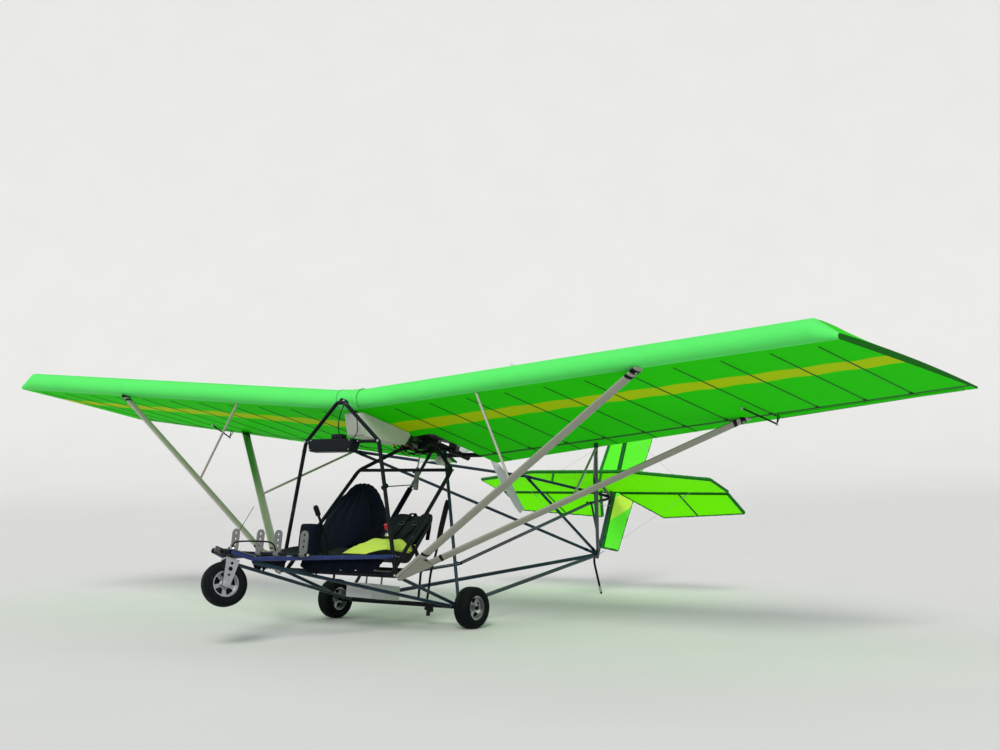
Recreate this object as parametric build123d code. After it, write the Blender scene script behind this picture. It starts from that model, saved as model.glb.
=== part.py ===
from build123d import *
import os
from dataclasses import dataclass
from math import asin, atan2, cos, degrees, hypot, radians, sin

# Two-seat side-by-side ultralight aircraft with an open tube frame, a strut-braced fabric wing,
# a pusher propeller behind the wing root and a tube truss that carries the tail.
#
# Everything is drawn in the ship's level frame: X to port, Y aft, Z up, millimetres, with the
# origin at the middle of the main wheels' axle. The finished aircraft is then tipped back on its
# main wheels and tail skid, as it parks, and moved so that its box's bottom centre is the origin.

# Fits
SEAT_GAP = 0.3
RUNNING_GAP = 0.05
MOVING_CLEARANCE = 6.0

# Wheels
TYRE_DIAMETER = 335.0
TYRE_WIDTH = 140.0
TYRE_SHOULDER = 42.0
RIM_DIAMETER = 196.0
RIM_WIDTH = 104.0
RIM_WALL = 10.0
SPOKE_WEB = 22.0
SPOKES = 5
HUB_DIAMETER = 58.0
HUB_LENGTH = 96.0
AXLE_DIAMETER = 20.0
WHEEL_TRACK = 1550.0
WHEELBASE = 1948.0
NUT_DIAMETER = 34.0
NUT_LENGTH = 14.0

# Tube diameters
MAIN_TUBE = 38.0
RAIL_TUBE = 34.0
BRACE_TUBE = 28.0
ARCH_TUBE = 32.0
ROOT_TUBE = 50.0
JURY_TUBE = 20.0
STRUT_CHORD = 92.0
STRUT_THICKNESS = 32.0
SKID_ROD = 22.0
BEND_RADIUS = 90.0

# Lower frame
NOSE_Y = -2004.0
NOSE_Z = 238.0
NOSE_HALF_WIDTH = 100.0
RAIL_BEND_X = 160.0
RAIL_BEND_Y = -1826.0
RAIL_BEND_Z = 203.0
RAIL_END_Z = 330.0
KEEL_FRONT_DROP = 27.0
KEEL_REAR_X = 560.0
FOOT_X = 640.0
FOOT_Y = -785.0
FOOT_Z = 185.0
PEDAL_BAR_Y = -1550.0
PEDAL_BAR_TUBE = 20.0
SEAT_BAR_Y = -330.0
SEAT_BAR_LENGTH = 1000.0
BRACE_FOOT_X = 655.0

# Cabin tubes
ARCH_TOP_Y = -935.0
ARCH_TOP_Z = 1540.0
ARCH_TOP_X = 40.0
ARCH_BEND_RADIUS = 38.0
ARCH_BEND_X = 413.0
ARCH_BEND_Y = -882.0
ARCH_BEND_Z = 1230.0
BOW_BEND_X = 530.0
BOW_BEND_Y = -114.0
BOW_BEND_Z = 1103.0
BOW_FOOT_X = 588.0
BOW_TOP_X = 112.0
BEARER_FRONT_Y = 94.0
BEARER_REAR_Y = 300.0
BEARER_LENGTH = 300.0
REAR_LEG_X = 640.0
REAR_LEG_TOP_X = 70.0
ROOT_TUBE_RISE = 36.0
ROOT_TUBE_REAR_Y = 700.0

# Wing
SPAR_ROOT_Y = -801.0
SPAR_ROOT_Z = 1500.0
SPAR_TIP_Y = -967.0
SPAR_TIP_Z = 1790.0
REAR_ROOT_Y = 613.0
REAR_ROOT_Z = 1300.0
REAR_TIP_Y = 584.0
REAR_TIP_Z = 1732.0
TIP_RIB_X = 4230.0
TIP_FRONT_X = 4420.0
TIP_REAR_X = 4640.0
ROLL_RADIUS = 82.0
TIP_ROLL_RADIUS = 20.0
CROWN_HEIGHT = 182.0
TIP_CROWN_HEIGHT = 52.0
CROWN_SHARE = 0.33
TRAILING_ROOT = 215.0
TRAILING_TIP = 92.0
TRAILING_EDGE = 14.0
ENGINE_BAY_X = 230.0
ENGINE_BAY_Y = -60.0
STRUT_STATION = 2860.0
JURY_STATION = 1350.0

# Ailerons
AILERON_INNER_X = 3090.0
AILERON_OUTER_X = 4560.0
AILERON_TUBE = 26.0
AILERON_AXIS_RISE = 20.0
EYE_WALL = 6.0
EYE_WIDTH = 14.0
EYE_ARM = 11.0

# Tail
TAIL_LOW_Z = 665.0
TAIL_TOP_Y = 2918.0
TAIL_TOP_Z = 1250.0
TRUSS_KNEE_X = 408.0
TRUSS_KNEE_Y = 2055.0
TRUSS_KNEE_Z = 1341.0
BOOM_BEND_Y = 700.0
BOOM_BEND_Z = 387.0
SKID_TIP_Y = 2873.0
SKID_TIP_Z = 300.0
POST_RAKE = 0.248
FIN_TOP_Z = 2080.0

# Propeller and engine
PROP_Y = 902.0
PROP_Z = 1472.0
PROP_RADIUS = 770.0
PROP_BLADES = 3
PROP_FIRST_ANGLE = 20.0
BLADE_CHORD = 124.0
BLADE_TIP_CHORD = 70.0
PROP_HUB = 110.0
PROP_HUB_LENGTH = 56.0

# Rest positions
STEER_AT_REST = -28.0
ELEVATOR_DROOP = 24.0

# Fork, steering head and tow lug
TYRE_BEAD = 8.0
SPOKE_WIDTH = 22.0
WINDOW_EDGE = 9.0
TYRE_TO_CROWN = 10.0
CROWN_THICKNESS = 12.0
LEG_PLATE = 6.0
LEG_FOOT = 54.0
LEG_HEAD = 104.0
LEG_HOLES = ((0.36, 22.0), (0.62, 32.0), (0.86, 22.0))
STEM_DIAMETER = 28.0
HEAD_ABOVE = 26.0
PLATE_THICKNESS = 6.0
TOW_REACH = 70.0
TOW_HOLE = 12.0
TOW_HOLE_REACH = 46.0
TOW_HOLE_DROP = 12.0

# Joints of the frame
FOOT_BAR_END = 653.0
STRUT_FOOT = (679.0, -783.0, 176.0)
STRUT_BOSS = 40.0
GUSSET_LENGTH = 270.0
GUSSET_PLATE = 4.0
LUG_DIAMETER = 24.0
BOOM_ROOT = (1397.0, 680.0, 1396.0)
BOOM_FITTING = 36.0
JURY_FRONT_X = 1744.0
JURY_REAR_X = 1770.0
KNEE_BEND = 200.0
CENTRE_BEND = 300.0
LOWER_BOOM_X = 600.0
BOOM_LOW_Y = 110.0
BOOM_LOW_Z = 270.0
BOOM_AFT_Y = 2559.0
BOOM_AFT_Z = 1140.0
BOOM_TOP_Z = 1235.0
STERN_BRACE = ((0.0, 2600.0, 1148.0), (0.0, 2794.0, 750.0))
POST_TUBE = 28.0
CARRY_TUBE = 40.0
CUT_REACH = 400.0

# Tail surfaces
STAB_SLOPE = 0.22
STAB_FRONT_Y = 2330.0
STAB_FRONT_Z = 1422.0
STAB_REAR_Y = 2862.0
STAB_OUTLINE = ((0.0, 2330.0), (557.0, 2330.0), (1367.0, 2543.0), (1367.0, 2862.0), (0.0, 2862.0))
STAB_RIBS = (0.0, 557.0, 962.0)
STAB_LUG_X = (60.0, 285.0)
ELEVATOR_AXIS_Y = 2895.0
ELEVATOR_OUTLINE = ((109.0, 0.0), (378.0, 475.0), (1340.0, 370.0), (1340.0, 0.0))
ELEVATOR_RIBS = (800.0,)
ELEVATOR_EYES = (60.0, 700.0, 1260.0)
RUDDER_OFFSET = 33.0
RUDDER_LOW_Z = 744.0
RUDDER_TOP_Z = 2085.0
RUDDER_EDGE = ((3100.0, 737.0), (3281.0, 1215.0), (3455.0, 1659.0), (3549.0, 1876.0), (3600.0, 2070.0))
RUDDER_EYES = (840.0, 1460.0, 1960.0)
FIN_BASE = (2668.0, 1370.0)
FIN_BASE_REAR_Z = 1356.0
FIN_TOP_FRONT = (2957.0, 2070.0)
HINGE_TUBE = 22.0
SURFACE_TUBE = 24.0
SURFACE_SKIN = 6.0
RIB_SHARE = 0.7
CORNER_SWELL = 0.8

AILERON_SETBACK = 22.0
AILERON_EYES = (0.06, 0.5, 0.94)
BAY_REACH = 1200.0
SKID_POINTS = ((0.0, 2722.0, 650.0), (0.0, 2713.0, 596.0), (0.0, SKID_TIP_Y, SKID_TIP_Z))
SKID_BEND = 120.0
RUDDER_RIBS = (1110.0, 1500.0)
COVER_CORNER = 45.0

# Cabin pieces
SEAT_X = 270.0
SEAT_WIDTH = 440.0
SEAT_SHELL = 8.0
SEAT_PROFILE = ((-960.0, 312.0), (-430.0, 300.0), (-157.0, 707.0))
SEAT_WALL = (
    (-960.0, 305.0),
    (-430.0, 294.0),
    (-157.0, 707.0),
    (-218.0, 742.0),
    (-478.0, 388.0),
    (-930.0, 378.0),
)
SEAT_POST = 20.0
SEAT_POST_X = (150.0, 390.0)
CUSHION_BASE = ((-956.0, 324.0), (-452.0, 313.0), (-372.0, 430.0), (-404.0, 450.0), (-962.0, 384.0))
CUSHION_BACK = ((-369.0, 434.0), (-190.0, 701.0), (-240.0, 734.0), (-430.0, 462.0))
COVER_OUTLINE = (
    (-640.0, 354.0),
    (-322.0, 958.0),
    (-190.0, 915.0),
    (-51.0, 599.0),
    (-399.0, 387.0),
    (-560.0, 350.0),
)
COVER_SHOULDER_Z = 600.0
COVER_PEAK_WIDTH = 170.0
COVER_WIDTH = 470.0
TANK_WIDTH = 180.0
TANK_FRONT_Y = -800.0
TANK_REAR_Y = -160.0
TANK_SLOPE = 70.0
TANK_BOTTOM_Z = 1300.0
TANK_DROP = 8.0
TANK_CORNER = 22.0
TANK_PADS = (-640.0, -300.0)
TANK_PAD_LENGTH = 60.0
POD_SIZE = (532.0, 96.0, 104.0)
POD_LOW_WIDTH = 472.0
POD_ABOVE_BAR = 20.0
POD_X = -90.0
POD_CORNER = 14.0
PEDAL_BAR_LENGTH = 900.0
PEDALS_X = (100.0, 385.0)
PEDAL_WIDTH = 84.0
PEDAL_TOP_Z = 448.0
PEDAL_PLATE = 5.0
PEDAL_HOLES = (0.34, 0.58, 0.82)
PEDAL_HOLE = 20.0
STICK_DIAMETER = 22.0
STICK_POINTS = ((0.0, -785.0, 185.0), (0.0, -1034.0, 580.0), (0.0, -1096.0, 676.0))
GRIP_DIAMETER = 34.0
TRAY_FRONT_Y = -520.0
TRAY_REAR_Y = -180.0
TRAY_WIDTH = 300.0
TRAY_BOTTOM_Z = 10.0
TRAY_TOP_Z = 125.0
TRAY_WALL = 5.0
TRAY_HANGERS = (-440.0, -260.0)
TRAY_HANGER = 16.0

# Engine
CASE_SIZE = (190.0, 390.0, 130.0)
CASE_CENTRE = (0.0, 375.0, 1490.0)
CYLINDERS_Y = (280.0, 455.0)
CYLINDER_SIZE = (150.0, 130.0)
FINS = 8
FIN_PITCH = 17.0
FIN_THICKNESS = 6.0
BARREL_DIAMETER = 96.0
HEAD_HEIGHT = 26.0
GEARCASE_DIAMETER = 130.0
GEARCASE_LENGTH = 90.0
SHAFT_DIAMETER = 30.0
SADDLES_Y = (250.0, 500.0)
SADDLE_SIZE = (84.0, 50.0)
SILENCER_DIAMETER = 96.0
SILENCER_X = -170.0
SILENCER_FRONT_Y = 120.0
SILENCER_REAR_Y = 560.0
SILENCER_Z = 1500.0
PIPE_DIAMETER = 38.0
TAIL_PIPE = 30.0
# Radius, chord, thickness and pitch in degrees
BLADE_STATIONS = (
    (30.0, 44.0, 40.0, 60.0),
    (120.0, 84.0, 26.0, 46.0),
    (300.0, BLADE_CHORD, 17.0, 28.0),
    (560.0, 104.0, 12.0, 17.0),
    (PROP_RADIUS, BLADE_TIP_CHORD, 8.0, 13.0),
)


def span(start, end):
    """Straight distance between two points."""
    return (Vector(*end) - Vector(*start)).length


def rod(start, end, diameter):
    """Round bar between two points."""
    plane = Plane(origin=start, z_dir=Vector(*end) - Vector(*start))
    return Solid.make_cylinder(diameter / 2, span(start, end), plane)


def between(start, end, share):
    """Point at a share of the way from start to end."""
    return tuple(a + (b - a) * share for a, b in zip(start, end))


def at_x(start, end, x):
    """Point of the line start to end that has the given x."""
    return between(start, end, (x - start[0]) / (end[0] - start[0]))


def starboard(point):
    """Mirror image of a port point."""
    return (-point[0], point[1], point[2])


@dataclass(frozen=True)
class Tube:
    """A round frame tube along points, with its bends rounded."""

    points: tuple
    diameter: float
    bend: float = BEND_RADIUS

    def solid(self, grow=0.0):
        size = self.diameter + 2 * grow
        if len(self.points) == 2:
            return rod(self.points[0], self.points[1], size)
        path = FilletPolyline(*self.points, radius=self.bend)
        heading = Vector(*self.points[1]) - Vector(*self.points[0])
        plane = Plane(origin=self.points[0], z_dir=heading)
        return sweep(plane * Circle(size / 2), path=path).solid()

    def mirrored(self):
        return Tube(tuple(starboard(p) for p in self.points), self.diameter, self.bend)


def coped(tube, *seats):
    """Tube cut to seat on other tubes, a fit away from each."""
    body = tube.solid()
    for seat in seats:
        body = body - seat.solid(SEAT_GAP)
    return max(body.solids(), key=lambda s: s.volume)


def both_sides(pieces):
    """Port pieces and their mirror images."""
    return pieces + [piece.mirror(Plane.YZ) for piece in pieces]




WING_ROOT_X = ROOT_TUBE / 2 + SEAT_GAP

# Frame points, port side where they have a mirror image

NOSE = (NOSE_HALF_WIDTH, NOSE_Y, NOSE_Z)
RAIL_BEND = (RAIL_BEND_X, RAIL_BEND_Y, RAIL_BEND_Z)
FOOT = (FOOT_X, FOOT_Y, FOOT_Z)
ARCH_BEND = (ARCH_BEND_X, ARCH_BEND_Y, ARCH_BEND_Z)
ARCH_TOP = (ARCH_TOP_X, ARCH_TOP_Y, ARCH_TOP_Z)
RAIL_END = between(FOOT, ARCH_BEND, (RAIL_END_Z - FOOT_Z) / (ARCH_BEND_Z - FOOT_Z))
KEEL_FRONT = (RAIL_BEND_X, RAIL_BEND_Y, RAIL_BEND_Z - KEEL_FRONT_DROP)
AXLE_END = (WHEEL_TRACK / 2 - HUB_LENGTH / 2 - MOVING_CLEARANCE, 0.0, 0.0)
KNEE = (TRUSS_KNEE_X, TRUSS_KNEE_Y, TRUSS_KNEE_Z)
TAIL_TOP = (0.0, TAIL_TOP_Y, TAIL_TOP_Z)
WHEEL_CENTRES = {
    "port": (WHEEL_TRACK / 2, 0.0, 0.0),
    "starboard": (-WHEEL_TRACK / 2, 0.0, 0.0),
    "nose": (0.0, -WHEELBASE, 0.0),
}


def post_y(z, offset=0.0):
    """Y of the raked tail post's axis, or of a line parallel to it, at a height."""
    return TAIL_TOP_Y + (z - TAIL_TOP_Z) * POST_RAKE + offset


TAIL_LOW = (0.0, post_y(TAIL_LOW_Z), TAIL_LOW_Z)


def spar_point(x, root_y, root_z, tip_y, tip_z):
    """Underside point of a straight spar at a station along the span."""
    share = x / TIP_RIB_X
    return (x, root_y + (tip_y - root_y) * share, root_z + (tip_z - root_z) * share)


def front_spar(x):
    """Underside of the leading edge tube at a distance from the middle."""
    return spar_point(x, SPAR_ROOT_Y, SPAR_ROOT_Z, SPAR_TIP_Y, SPAR_TIP_Z)


def rear_spar(x):
    """Underside of the rear spar at a distance from the middle."""
    return spar_point(x, REAR_ROOT_Y, REAR_ROOT_Z, REAR_TIP_Y, REAR_TIP_Z)


def root_tube_z(y):
    """Height of the root tube's axis, which lies along the wing's root underside."""
    slope = (REAR_ROOT_Z - SPAR_ROOT_Z) / (REAR_ROOT_Y - SPAR_ROOT_Y)
    return SPAR_ROOT_Z + ROOT_TUBE_RISE + slope * (y - SPAR_ROOT_Y)


def bearer_z(y):
    """Height of a bearer tube that hangs under the root tube."""
    return root_tube_z(y) - ROOT_TUBE / 2 - BRACE_TUBE / 2 - 2 * SEAT_GAP


# Tubes

AXLE = Tube((starboard(AXLE_END), AXLE_END), MAIN_TUBE)
FOOT_BAR = Tube(((-FOOT_BAR_END, FOOT_Y, FOOT_Z), (FOOT_BAR_END, FOOT_Y, FOOT_Z)), MAIN_TUBE)
NOSE_BAR = Tube((starboard(NOSE), NOSE), MAIN_TUBE)
ARCH = Tube(
    (FOOT, ARCH_BEND, ARCH_TOP, starboard(ARCH_TOP), starboard(ARCH_BEND), starboard(FOOT)),
    ARCH_TUBE,
    ARCH_BEND_RADIUS,
)
RAIL = Tube((NOSE, RAIL_BEND, RAIL_END), RAIL_TUBE, RAIL_TUBE * 2)
KEEL = Tube((KEEL_FRONT, (KEEL_REAR_X, 0.0, 0.0)), BRACE_TUBE)
DRAG_BRACE = Tube((FOOT, (BRACE_FOOT_X, 0.0, 0.0)), BRACE_TUBE)
ROOT = Tube(
    ((0.0, ARCH_TOP_Y, root_tube_z(ARCH_TOP_Y)), (0.0, ROOT_TUBE_REAR_Y, root_tube_z(ROOT_TUBE_REAR_Y))),
    ROOT_TUBE,
)
BEARERS = [
    Tube(((-BEARER_LENGTH / 2, y, bearer_z(y)), (BEARER_LENGTH / 2, y, bearer_z(y))), BRACE_TUBE)
    for y in (BEARER_FRONT_Y, BEARER_REAR_Y)
]
BOW_BEND = (BOW_BEND_X, BOW_BEND_Y, BOW_BEND_Z)
BOW = Tube(
    ((BOW_FOOT_X, FOOT_Y, FOOT_Z), BOW_BEND, (BOW_TOP_X, BEARER_FRONT_Y, bearer_z(BEARER_FRONT_Y))),
    ARCH_TUBE,
    BEND_RADIUS,
)
BOW_BAR = Tube((starboard(BOW_BEND), BOW_BEND), BRACE_TUBE)
PANEL_BAR = Tube((starboard(ARCH_BEND), ARCH_BEND), BRACE_TUBE)
REAR_LEG = Tube(
    ((REAR_LEG_X, 0.0, 0.0), (REAR_LEG_TOP_X, BEARER_REAR_Y, bearer_z(BEARER_REAR_Y))), BRACE_TUBE
)
UPPER_BOOM = Tube((BOOM_ROOT, KNEE, TAIL_TOP), BRACE_TUBE, KNEE_BEND)
DIAGONAL = Tube((BOOM_ROOT, TAIL_LOW), BRACE_TUBE)
KNEE_BRACE = Tube((KNEE, TAIL_LOW), BRACE_TUBE)
LOWER_BOOM = Tube(((LOWER_BOOM_X, 0.0, 0.0), TAIL_LOW), RAIL_TUBE)
CENTRE_BOOM = Tube(
    (
        (0.0, FOOT_Y, FOOT_Z),
        (0.0, BOOM_LOW_Y, BOOM_LOW_Z),
        (0.0, BOOM_BEND_Y, BOOM_BEND_Z),
        (0.0, BOOM_AFT_Y, BOOM_AFT_Z),
        (0.0, post_y(BOOM_TOP_Z), BOOM_TOP_Z),
    ),
    BRACE_TUBE,
    CENTRE_BEND,
)
POST = Tube(
    ((0.0, post_y(TAIL_LOW_Z - MAIN_TUBE), TAIL_LOW_Z - MAIN_TUBE), (0.0, post_y(FIN_TOP_Z), FIN_TOP_Z)),
    POST_TUBE,
)
SKID = Tube(SKID_POINTS, SKID_ROD, SKID_BEND)
SEAT_BAR_SHARE = (SEAT_BAR_Y - FOOT_Y) / (BOOM_LOW_Y - FOOT_Y)
SEAT_BAR_Z = FOOT_Z + (BOOM_LOW_Z - FOOT_Z) * SEAT_BAR_SHARE + BRACE_TUBE + 2 * SEAT_GAP
SEAT_BAR = Tube(
    (
        (-SEAT_BAR_LENGTH / 2, SEAT_BAR_Y, SEAT_BAR_Z),
        (SEAT_BAR_LENGTH / 2, SEAT_BAR_Y, SEAT_BAR_Z),
    ),
    BRACE_TUBE,
)
PEDAL_SHARE = (PEDAL_BAR_Y - RAIL_BEND_Y) / (RAIL_END[1] - RAIL_BEND_Y)
PEDAL_BAR_Z = between(RAIL_BEND, RAIL_END, PEDAL_SHARE)[2] + (RAIL_TUBE + PEDAL_BAR_TUBE) / 2 + 2 * SEAT_GAP
PEDAL_BAR = Tube(
    (
        (-PEDAL_BAR_LENGTH / 2, PEDAL_BAR_Y, PEDAL_BAR_Z),
        (PEDAL_BAR_LENGTH / 2, PEDAL_BAR_Y, PEDAL_BAR_Z),
    ),
    PEDAL_BAR_TUBE,
)
BOOM_FOOT = Tube((BOOM_ROOT, (BOOM_ROOT[0], BOOM_ROOT[1], BOOM_ROOT[2] + 2 * BOOM_FITTING)), BOOM_FITTING)


# Shared shapes


def trailing_edge(x):
    """Lower trailing edge of the wing between its root and its tip rib."""
    ends = []
    for station, trailing in ((WING_ROOT_X, TRAILING_ROOT), (TIP_RIB_X, TRAILING_TIP)):
        front, rear = Vector(*front_spar(station)), Vector(*rear_spar(station))
        ends.append(rear + (rear - front).normalized() * trailing)
    return ends[0] + (ends[1] - ends[0]) * ((x - WING_ROOT_X) / (TIP_RIB_X - WING_ROOT_X))


def wing_underside(x, y):
    """Plane that touches the wing's underside at a station along span and chord."""
    front, rear = Vector(*front_spar(x)), trailing_edge(x)
    share = (y - front.Y) / (rear.Y - front.Y)
    here = front + (rear - front) * share
    front_next, rear_next = Vector(*front_spar(x + 1)), trailing_edge(x + 1)
    spanwise = front_next + (rear_next - front_next) * share - here
    return Plane(origin=here, x_dir=spanwise, z_dir=spanwise.cross(rear - front))


def under_wing(piece, x, y):
    """Piece cut off a fit below the wing's underside."""
    plane = wing_underside(x, y)
    corner = plane.from_local_coords((-CUT_REACH, -CUT_REACH, -SEAT_GAP))
    above = Plane(origin=corner, x_dir=plane.x_dir, z_dir=plane.z_dir)
    return largest(piece - Solid.make_box(2 * CUT_REACH, 2 * CUT_REACH, CUT_REACH, above))


def largest(shape):
    """The biggest solid of a cut shape."""
    return max(shape.solids(), key=lambda s: s.volume)


def port_half(shape):
    """What lies to port of the centreline, half a fit away from it."""
    size = CUT_REACH * 8
    cutter = Solid.make_box(size, 2 * size, 2 * size, Plane((SEAT_GAP / 2 - size, -size, -size)))
    return largest(shape - cutter)


def fused(pieces):
    """One solid from touching pieces."""
    whole = pieces[0]
    for piece in pieces[1:]:
        whole = whole + piece
    return whole


@dataclass(frozen=True)
class HingeLine:
    """A control surface's front tube, which turns in eyes held by the fixed surface."""

    start: tuple
    end: tuple
    tube: float

    def tube_solid(self):
        return rod(self.start, self.end, self.tube)

    def along(self, share, half_width, diameter):
        centre = Vector(*between(self.start, self.end, share))
        heading = (Vector(*self.end) - Vector(*self.start)).normalized() * half_width
        return rod((centre - heading), (centre + heading), diameter)

    def eye(self, share):
        outer = self.along(share, EYE_WIDTH / 2, self.tube + 2 * EYE_WALL)
        return outer - self.along(share, EYE_WIDTH, self.tube + 2 * RUNNING_GAP)

    def room(self, share):
        """Space that an eye and its clearance take out of the moving surface."""
        reach = self.tube + 2 * EYE_WALL + 2 * MOVING_CLEARANCE
        return self.along(share, EYE_WIDTH / 2 + MOVING_CLEARANCE, reach)

    def arm(self, share, fixed_point):
        """Bar from an eye to the fixed surface's own tube or spar."""
        centre = Vector(*between(self.start, self.end, share))
        toward = Vector(*fixed_point) - centre
        start = centre + toward.normalized() * (self.tube / 2 + EYE_WALL / 2)
        return rod(start, fixed_point, EYE_ARM)


# Wheels


def tyre():
    """Fat low-pressure tyre about the X axis."""
    inner = RIM_DIAMETER / 2 + SEAT_GAP
    height = TYRE_DIAMETER / 2 - inner
    face = Plane.XY * Pos(0, inner + height / 2) * Rectangle(TYRE_WIDTH, height)
    face = fillet(face.vertices().sort_by(Axis.Y)[-2:], TYRE_SHOULDER)
    face = fillet(face.vertices().sort_by(Axis.Y)[:2], TYRE_BEAD)
    return revolve(face, Axis.X).solid()


def rim():
    """Cast rim with a barrel, a web with rounded windows between its spokes, and a long hub."""
    inner = RIM_DIAMETER / 2 - RIM_WALL
    across = Plane.YZ
    barrel = extrude(across * (Circle(RIM_DIAMETER / 2) - Circle(inner)), RIM_WIDTH / 2, both=True)
    web = extrude(across * Circle(inner + RIM_WALL / 2), SPOKE_WEB / 2, both=True)
    low, high = HUB_DIAMETER / 2 + WINDOW_EDGE, inner - WINDOW_EDGE
    half_low = low * sin(radians(180 / SPOKES)) - SPOKE_WIDTH / 2
    half_high = high * sin(radians(180 / SPOKES)) - SPOKE_WIDTH / 2
    corners = ((-half_low, low), (half_low, low), (half_high, high), (-half_high, high))
    window = make_face(Polyline(*corners, close=True))
    window = fillet(window.vertices(), WINDOW_EDGE)
    for turn in range(SPOKES):
        cutter = across * Rot(0, 0, turn * 360 / SPOKES) * window
        web = web - extrude(cutter, SPOKE_WEB, both=True)
    hub = extrude(across * Circle(HUB_DIAMETER / 2), HUB_LENGTH / 2, both=True)
    bore = extrude(across * Circle(AXLE_DIAMETER / 2 + RUNNING_GAP), HUB_LENGTH, both=True)
    return (barrel + web + hub - bore).solid()


def wheel_axle(inner, outer):
    """Stub axle along X with its end nut outside the hub."""
    nut_start = WHEEL_TRACK / 2 + HUB_LENGTH / 2 + SEAT_GAP
    stub = rod((inner, 0, 0), (nut_start + NUT_LENGTH, 0, 0), AXLE_DIAMETER)
    return stub + rod((nut_start, 0, 0), (nut_start + NUT_LENGTH, 0, 0), outer)


# Nose wheel fork, drawn straight ahead

FORK_RAKE = degrees(atan2(NOSE_Z - RAIL_BEND_Z, RAIL_BEND_Y - NOSE_Y))
STEER_AXIS = Vector(0, sin(radians(FORK_RAKE)), cos(radians(FORK_RAKE)))
STEER_PLANE = Plane(origin=WHEEL_CENTRES["nose"], x_dir=(1, 0, 0), z_dir=STEER_AXIS)
RAIL_HEIGHT = (Vector(*RAIL_BEND) - Vector(*WHEEL_CENTRES["nose"])).dot(STEER_AXIS)
CROWN_BOTTOM = TYRE_DIAMETER / 2 + TYRE_TO_CROWN
LEG_X = TYRE_WIDTH / 2 + MOVING_CLEARANCE


def fork():
    """Two pierced plates, the crown over the tyre, the steering stem and the axle."""
    side = Polyline(
        (-LEG_FOOT / 2, -LEG_FOOT / 2),
        (LEG_FOOT / 2, -LEG_FOOT / 2),
        (LEG_HEAD / 2, CROWN_BOTTOM + CROWN_THICKNESS),
        (-LEG_HEAD / 2, CROWN_BOTTOM + CROWN_THICKNESS),
        close=True,
    )
    plate = fillet(make_face(side).vertices().sort_by(Axis.Y)[:2], LEG_FOOT / 3)
    for share, diameter in LEG_HOLES:
        plate = plate - Pos(0, CROWN_BOTTOM * share) * Circle(diameter / 2)
    leg = extrude(Plane.YZ * plate, LEG_PLATE)
    legs = [Pos(LEG_X, 0, 0) * leg, Pos(-LEG_X - LEG_PLATE, 0, 0) * leg]
    crown = Pos(0, 0, CROWN_BOTTOM + CROWN_THICKNESS / 2) * Box(2 * LEG_X, LEG_HEAD, CROWN_THICKNESS)
    stem_top = RAIL_HEIGHT + RAIL_TUBE / 2 + HEAD_ABOVE
    stem = rod((0, 0, CROWN_BOTTOM + CROWN_THICKNESS / 2), (0, 0, stem_top), STEM_DIAMETER)
    reach = LEG_X + LEG_PLATE
    axle = rod((-reach - NUT_LENGTH, 0, 0), (reach + NUT_LENGTH, 0, 0), AXLE_DIAMETER)
    nuts = [
        rod((side * reach, 0, 0), (side * (reach + NUT_LENGTH), 0, 0), NUT_DIAMETER) for side in (-1, 1)
    ]
    cap = rod((0, 0, stem_top), (0, 0, stem_top + CROWN_THICKNESS), STEM_DIAMETER + 4 * EYE_WALL)
    return STEER_PLANE.location * fused(legs + [crown, stem, axle, cap] + nuts)


def nose_plate():
    """Plate on the nose rails with the steering head and the tow lug."""
    head_bottom = CROWN_BOTTOM + CROWN_THICKNESS + SEAT_GAP
    head_top = RAIL_HEIGHT + RAIL_TUBE / 2 + HEAD_ABOVE - SEAT_GAP
    bottom = RAIL_HEIGHT + RAIL_TUBE / 2 + SEAT_GAP
    wheel = Vector(*WHEEL_CENTRES["nose"])
    front = (Vector(0, NOSE_Y, NOSE_Z) - wheel).dot(STEER_PLANE.y_dir)
    back = (Vector(0, RAIL_BEND_Y, RAIL_BEND_Z) - wheel).dot(STEER_PLANE.y_dir)
    front_x, back_x = NOSE_HALF_WIDTH + RAIL_TUBE / 2, RAIL_BEND_X + RAIL_TUBE / 2
    outline = Polyline((-front_x, front), (front_x, front), (back_x, back), (-back_x, back), close=True)
    plate = extrude(Plane.XY.offset(bottom) * make_face(outline), PLATE_THICKNESS)
    head = rod((0, 0, head_bottom), (0, 0, head_top), STEM_DIAMETER + 4 * EYE_WALL)
    lug_low = bottom - TOW_HOLE_DROP - TOW_HOLE * 2
    lug = Solid.make_box(
        PLATE_THICKNESS,
        TOW_REACH + RAIL_TUBE,
        bottom + PLATE_THICKNESS - lug_low,
        Plane((-PLATE_THICKNESS / 2, front - TOW_REACH, lug_low)),
    )
    hole_y, hole_z = front - TOW_HOLE_REACH, bottom - TOW_HOLE_DROP
    whole = fused([plate, head, lug])
    whole = whole - rod((0, 0, 0), (0, 0, head_top + PLATE_THICKNESS), STEM_DIAMETER + 2 * RUNNING_GAP)
    whole = whole - rod((-PLATE_THICKNESS, hole_y, hole_z), (PLATE_THICKNESS, hole_y, hole_z), TOW_HOLE)
    whole = STEER_PLANE.location * whole - NOSE_BAR.solid(SEAT_GAP)
    return largest(whole - RAIL.solid(SEAT_GAP) - RAIL.mirrored().solid(SEAT_GAP))


# Wing and ailerons

AILERON_INNER = rear_spar(AILERON_INNER_X)
AILERON_OUTER = rear_spar(AILERON_OUTER_X)
AILERON_BACK = AILERON_TUBE / 2 + AILERON_SETBACK
AILERON_HINGE = HingeLine(
    (AILERON_INNER[0], AILERON_INNER[1] + AILERON_BACK, AILERON_INNER[2] + AILERON_AXIS_RISE),
    (AILERON_OUTER[0], AILERON_OUTER[1] + AILERON_BACK, AILERON_OUTER[2] + AILERON_AXIS_RISE),
    AILERON_TUBE,
)


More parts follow.
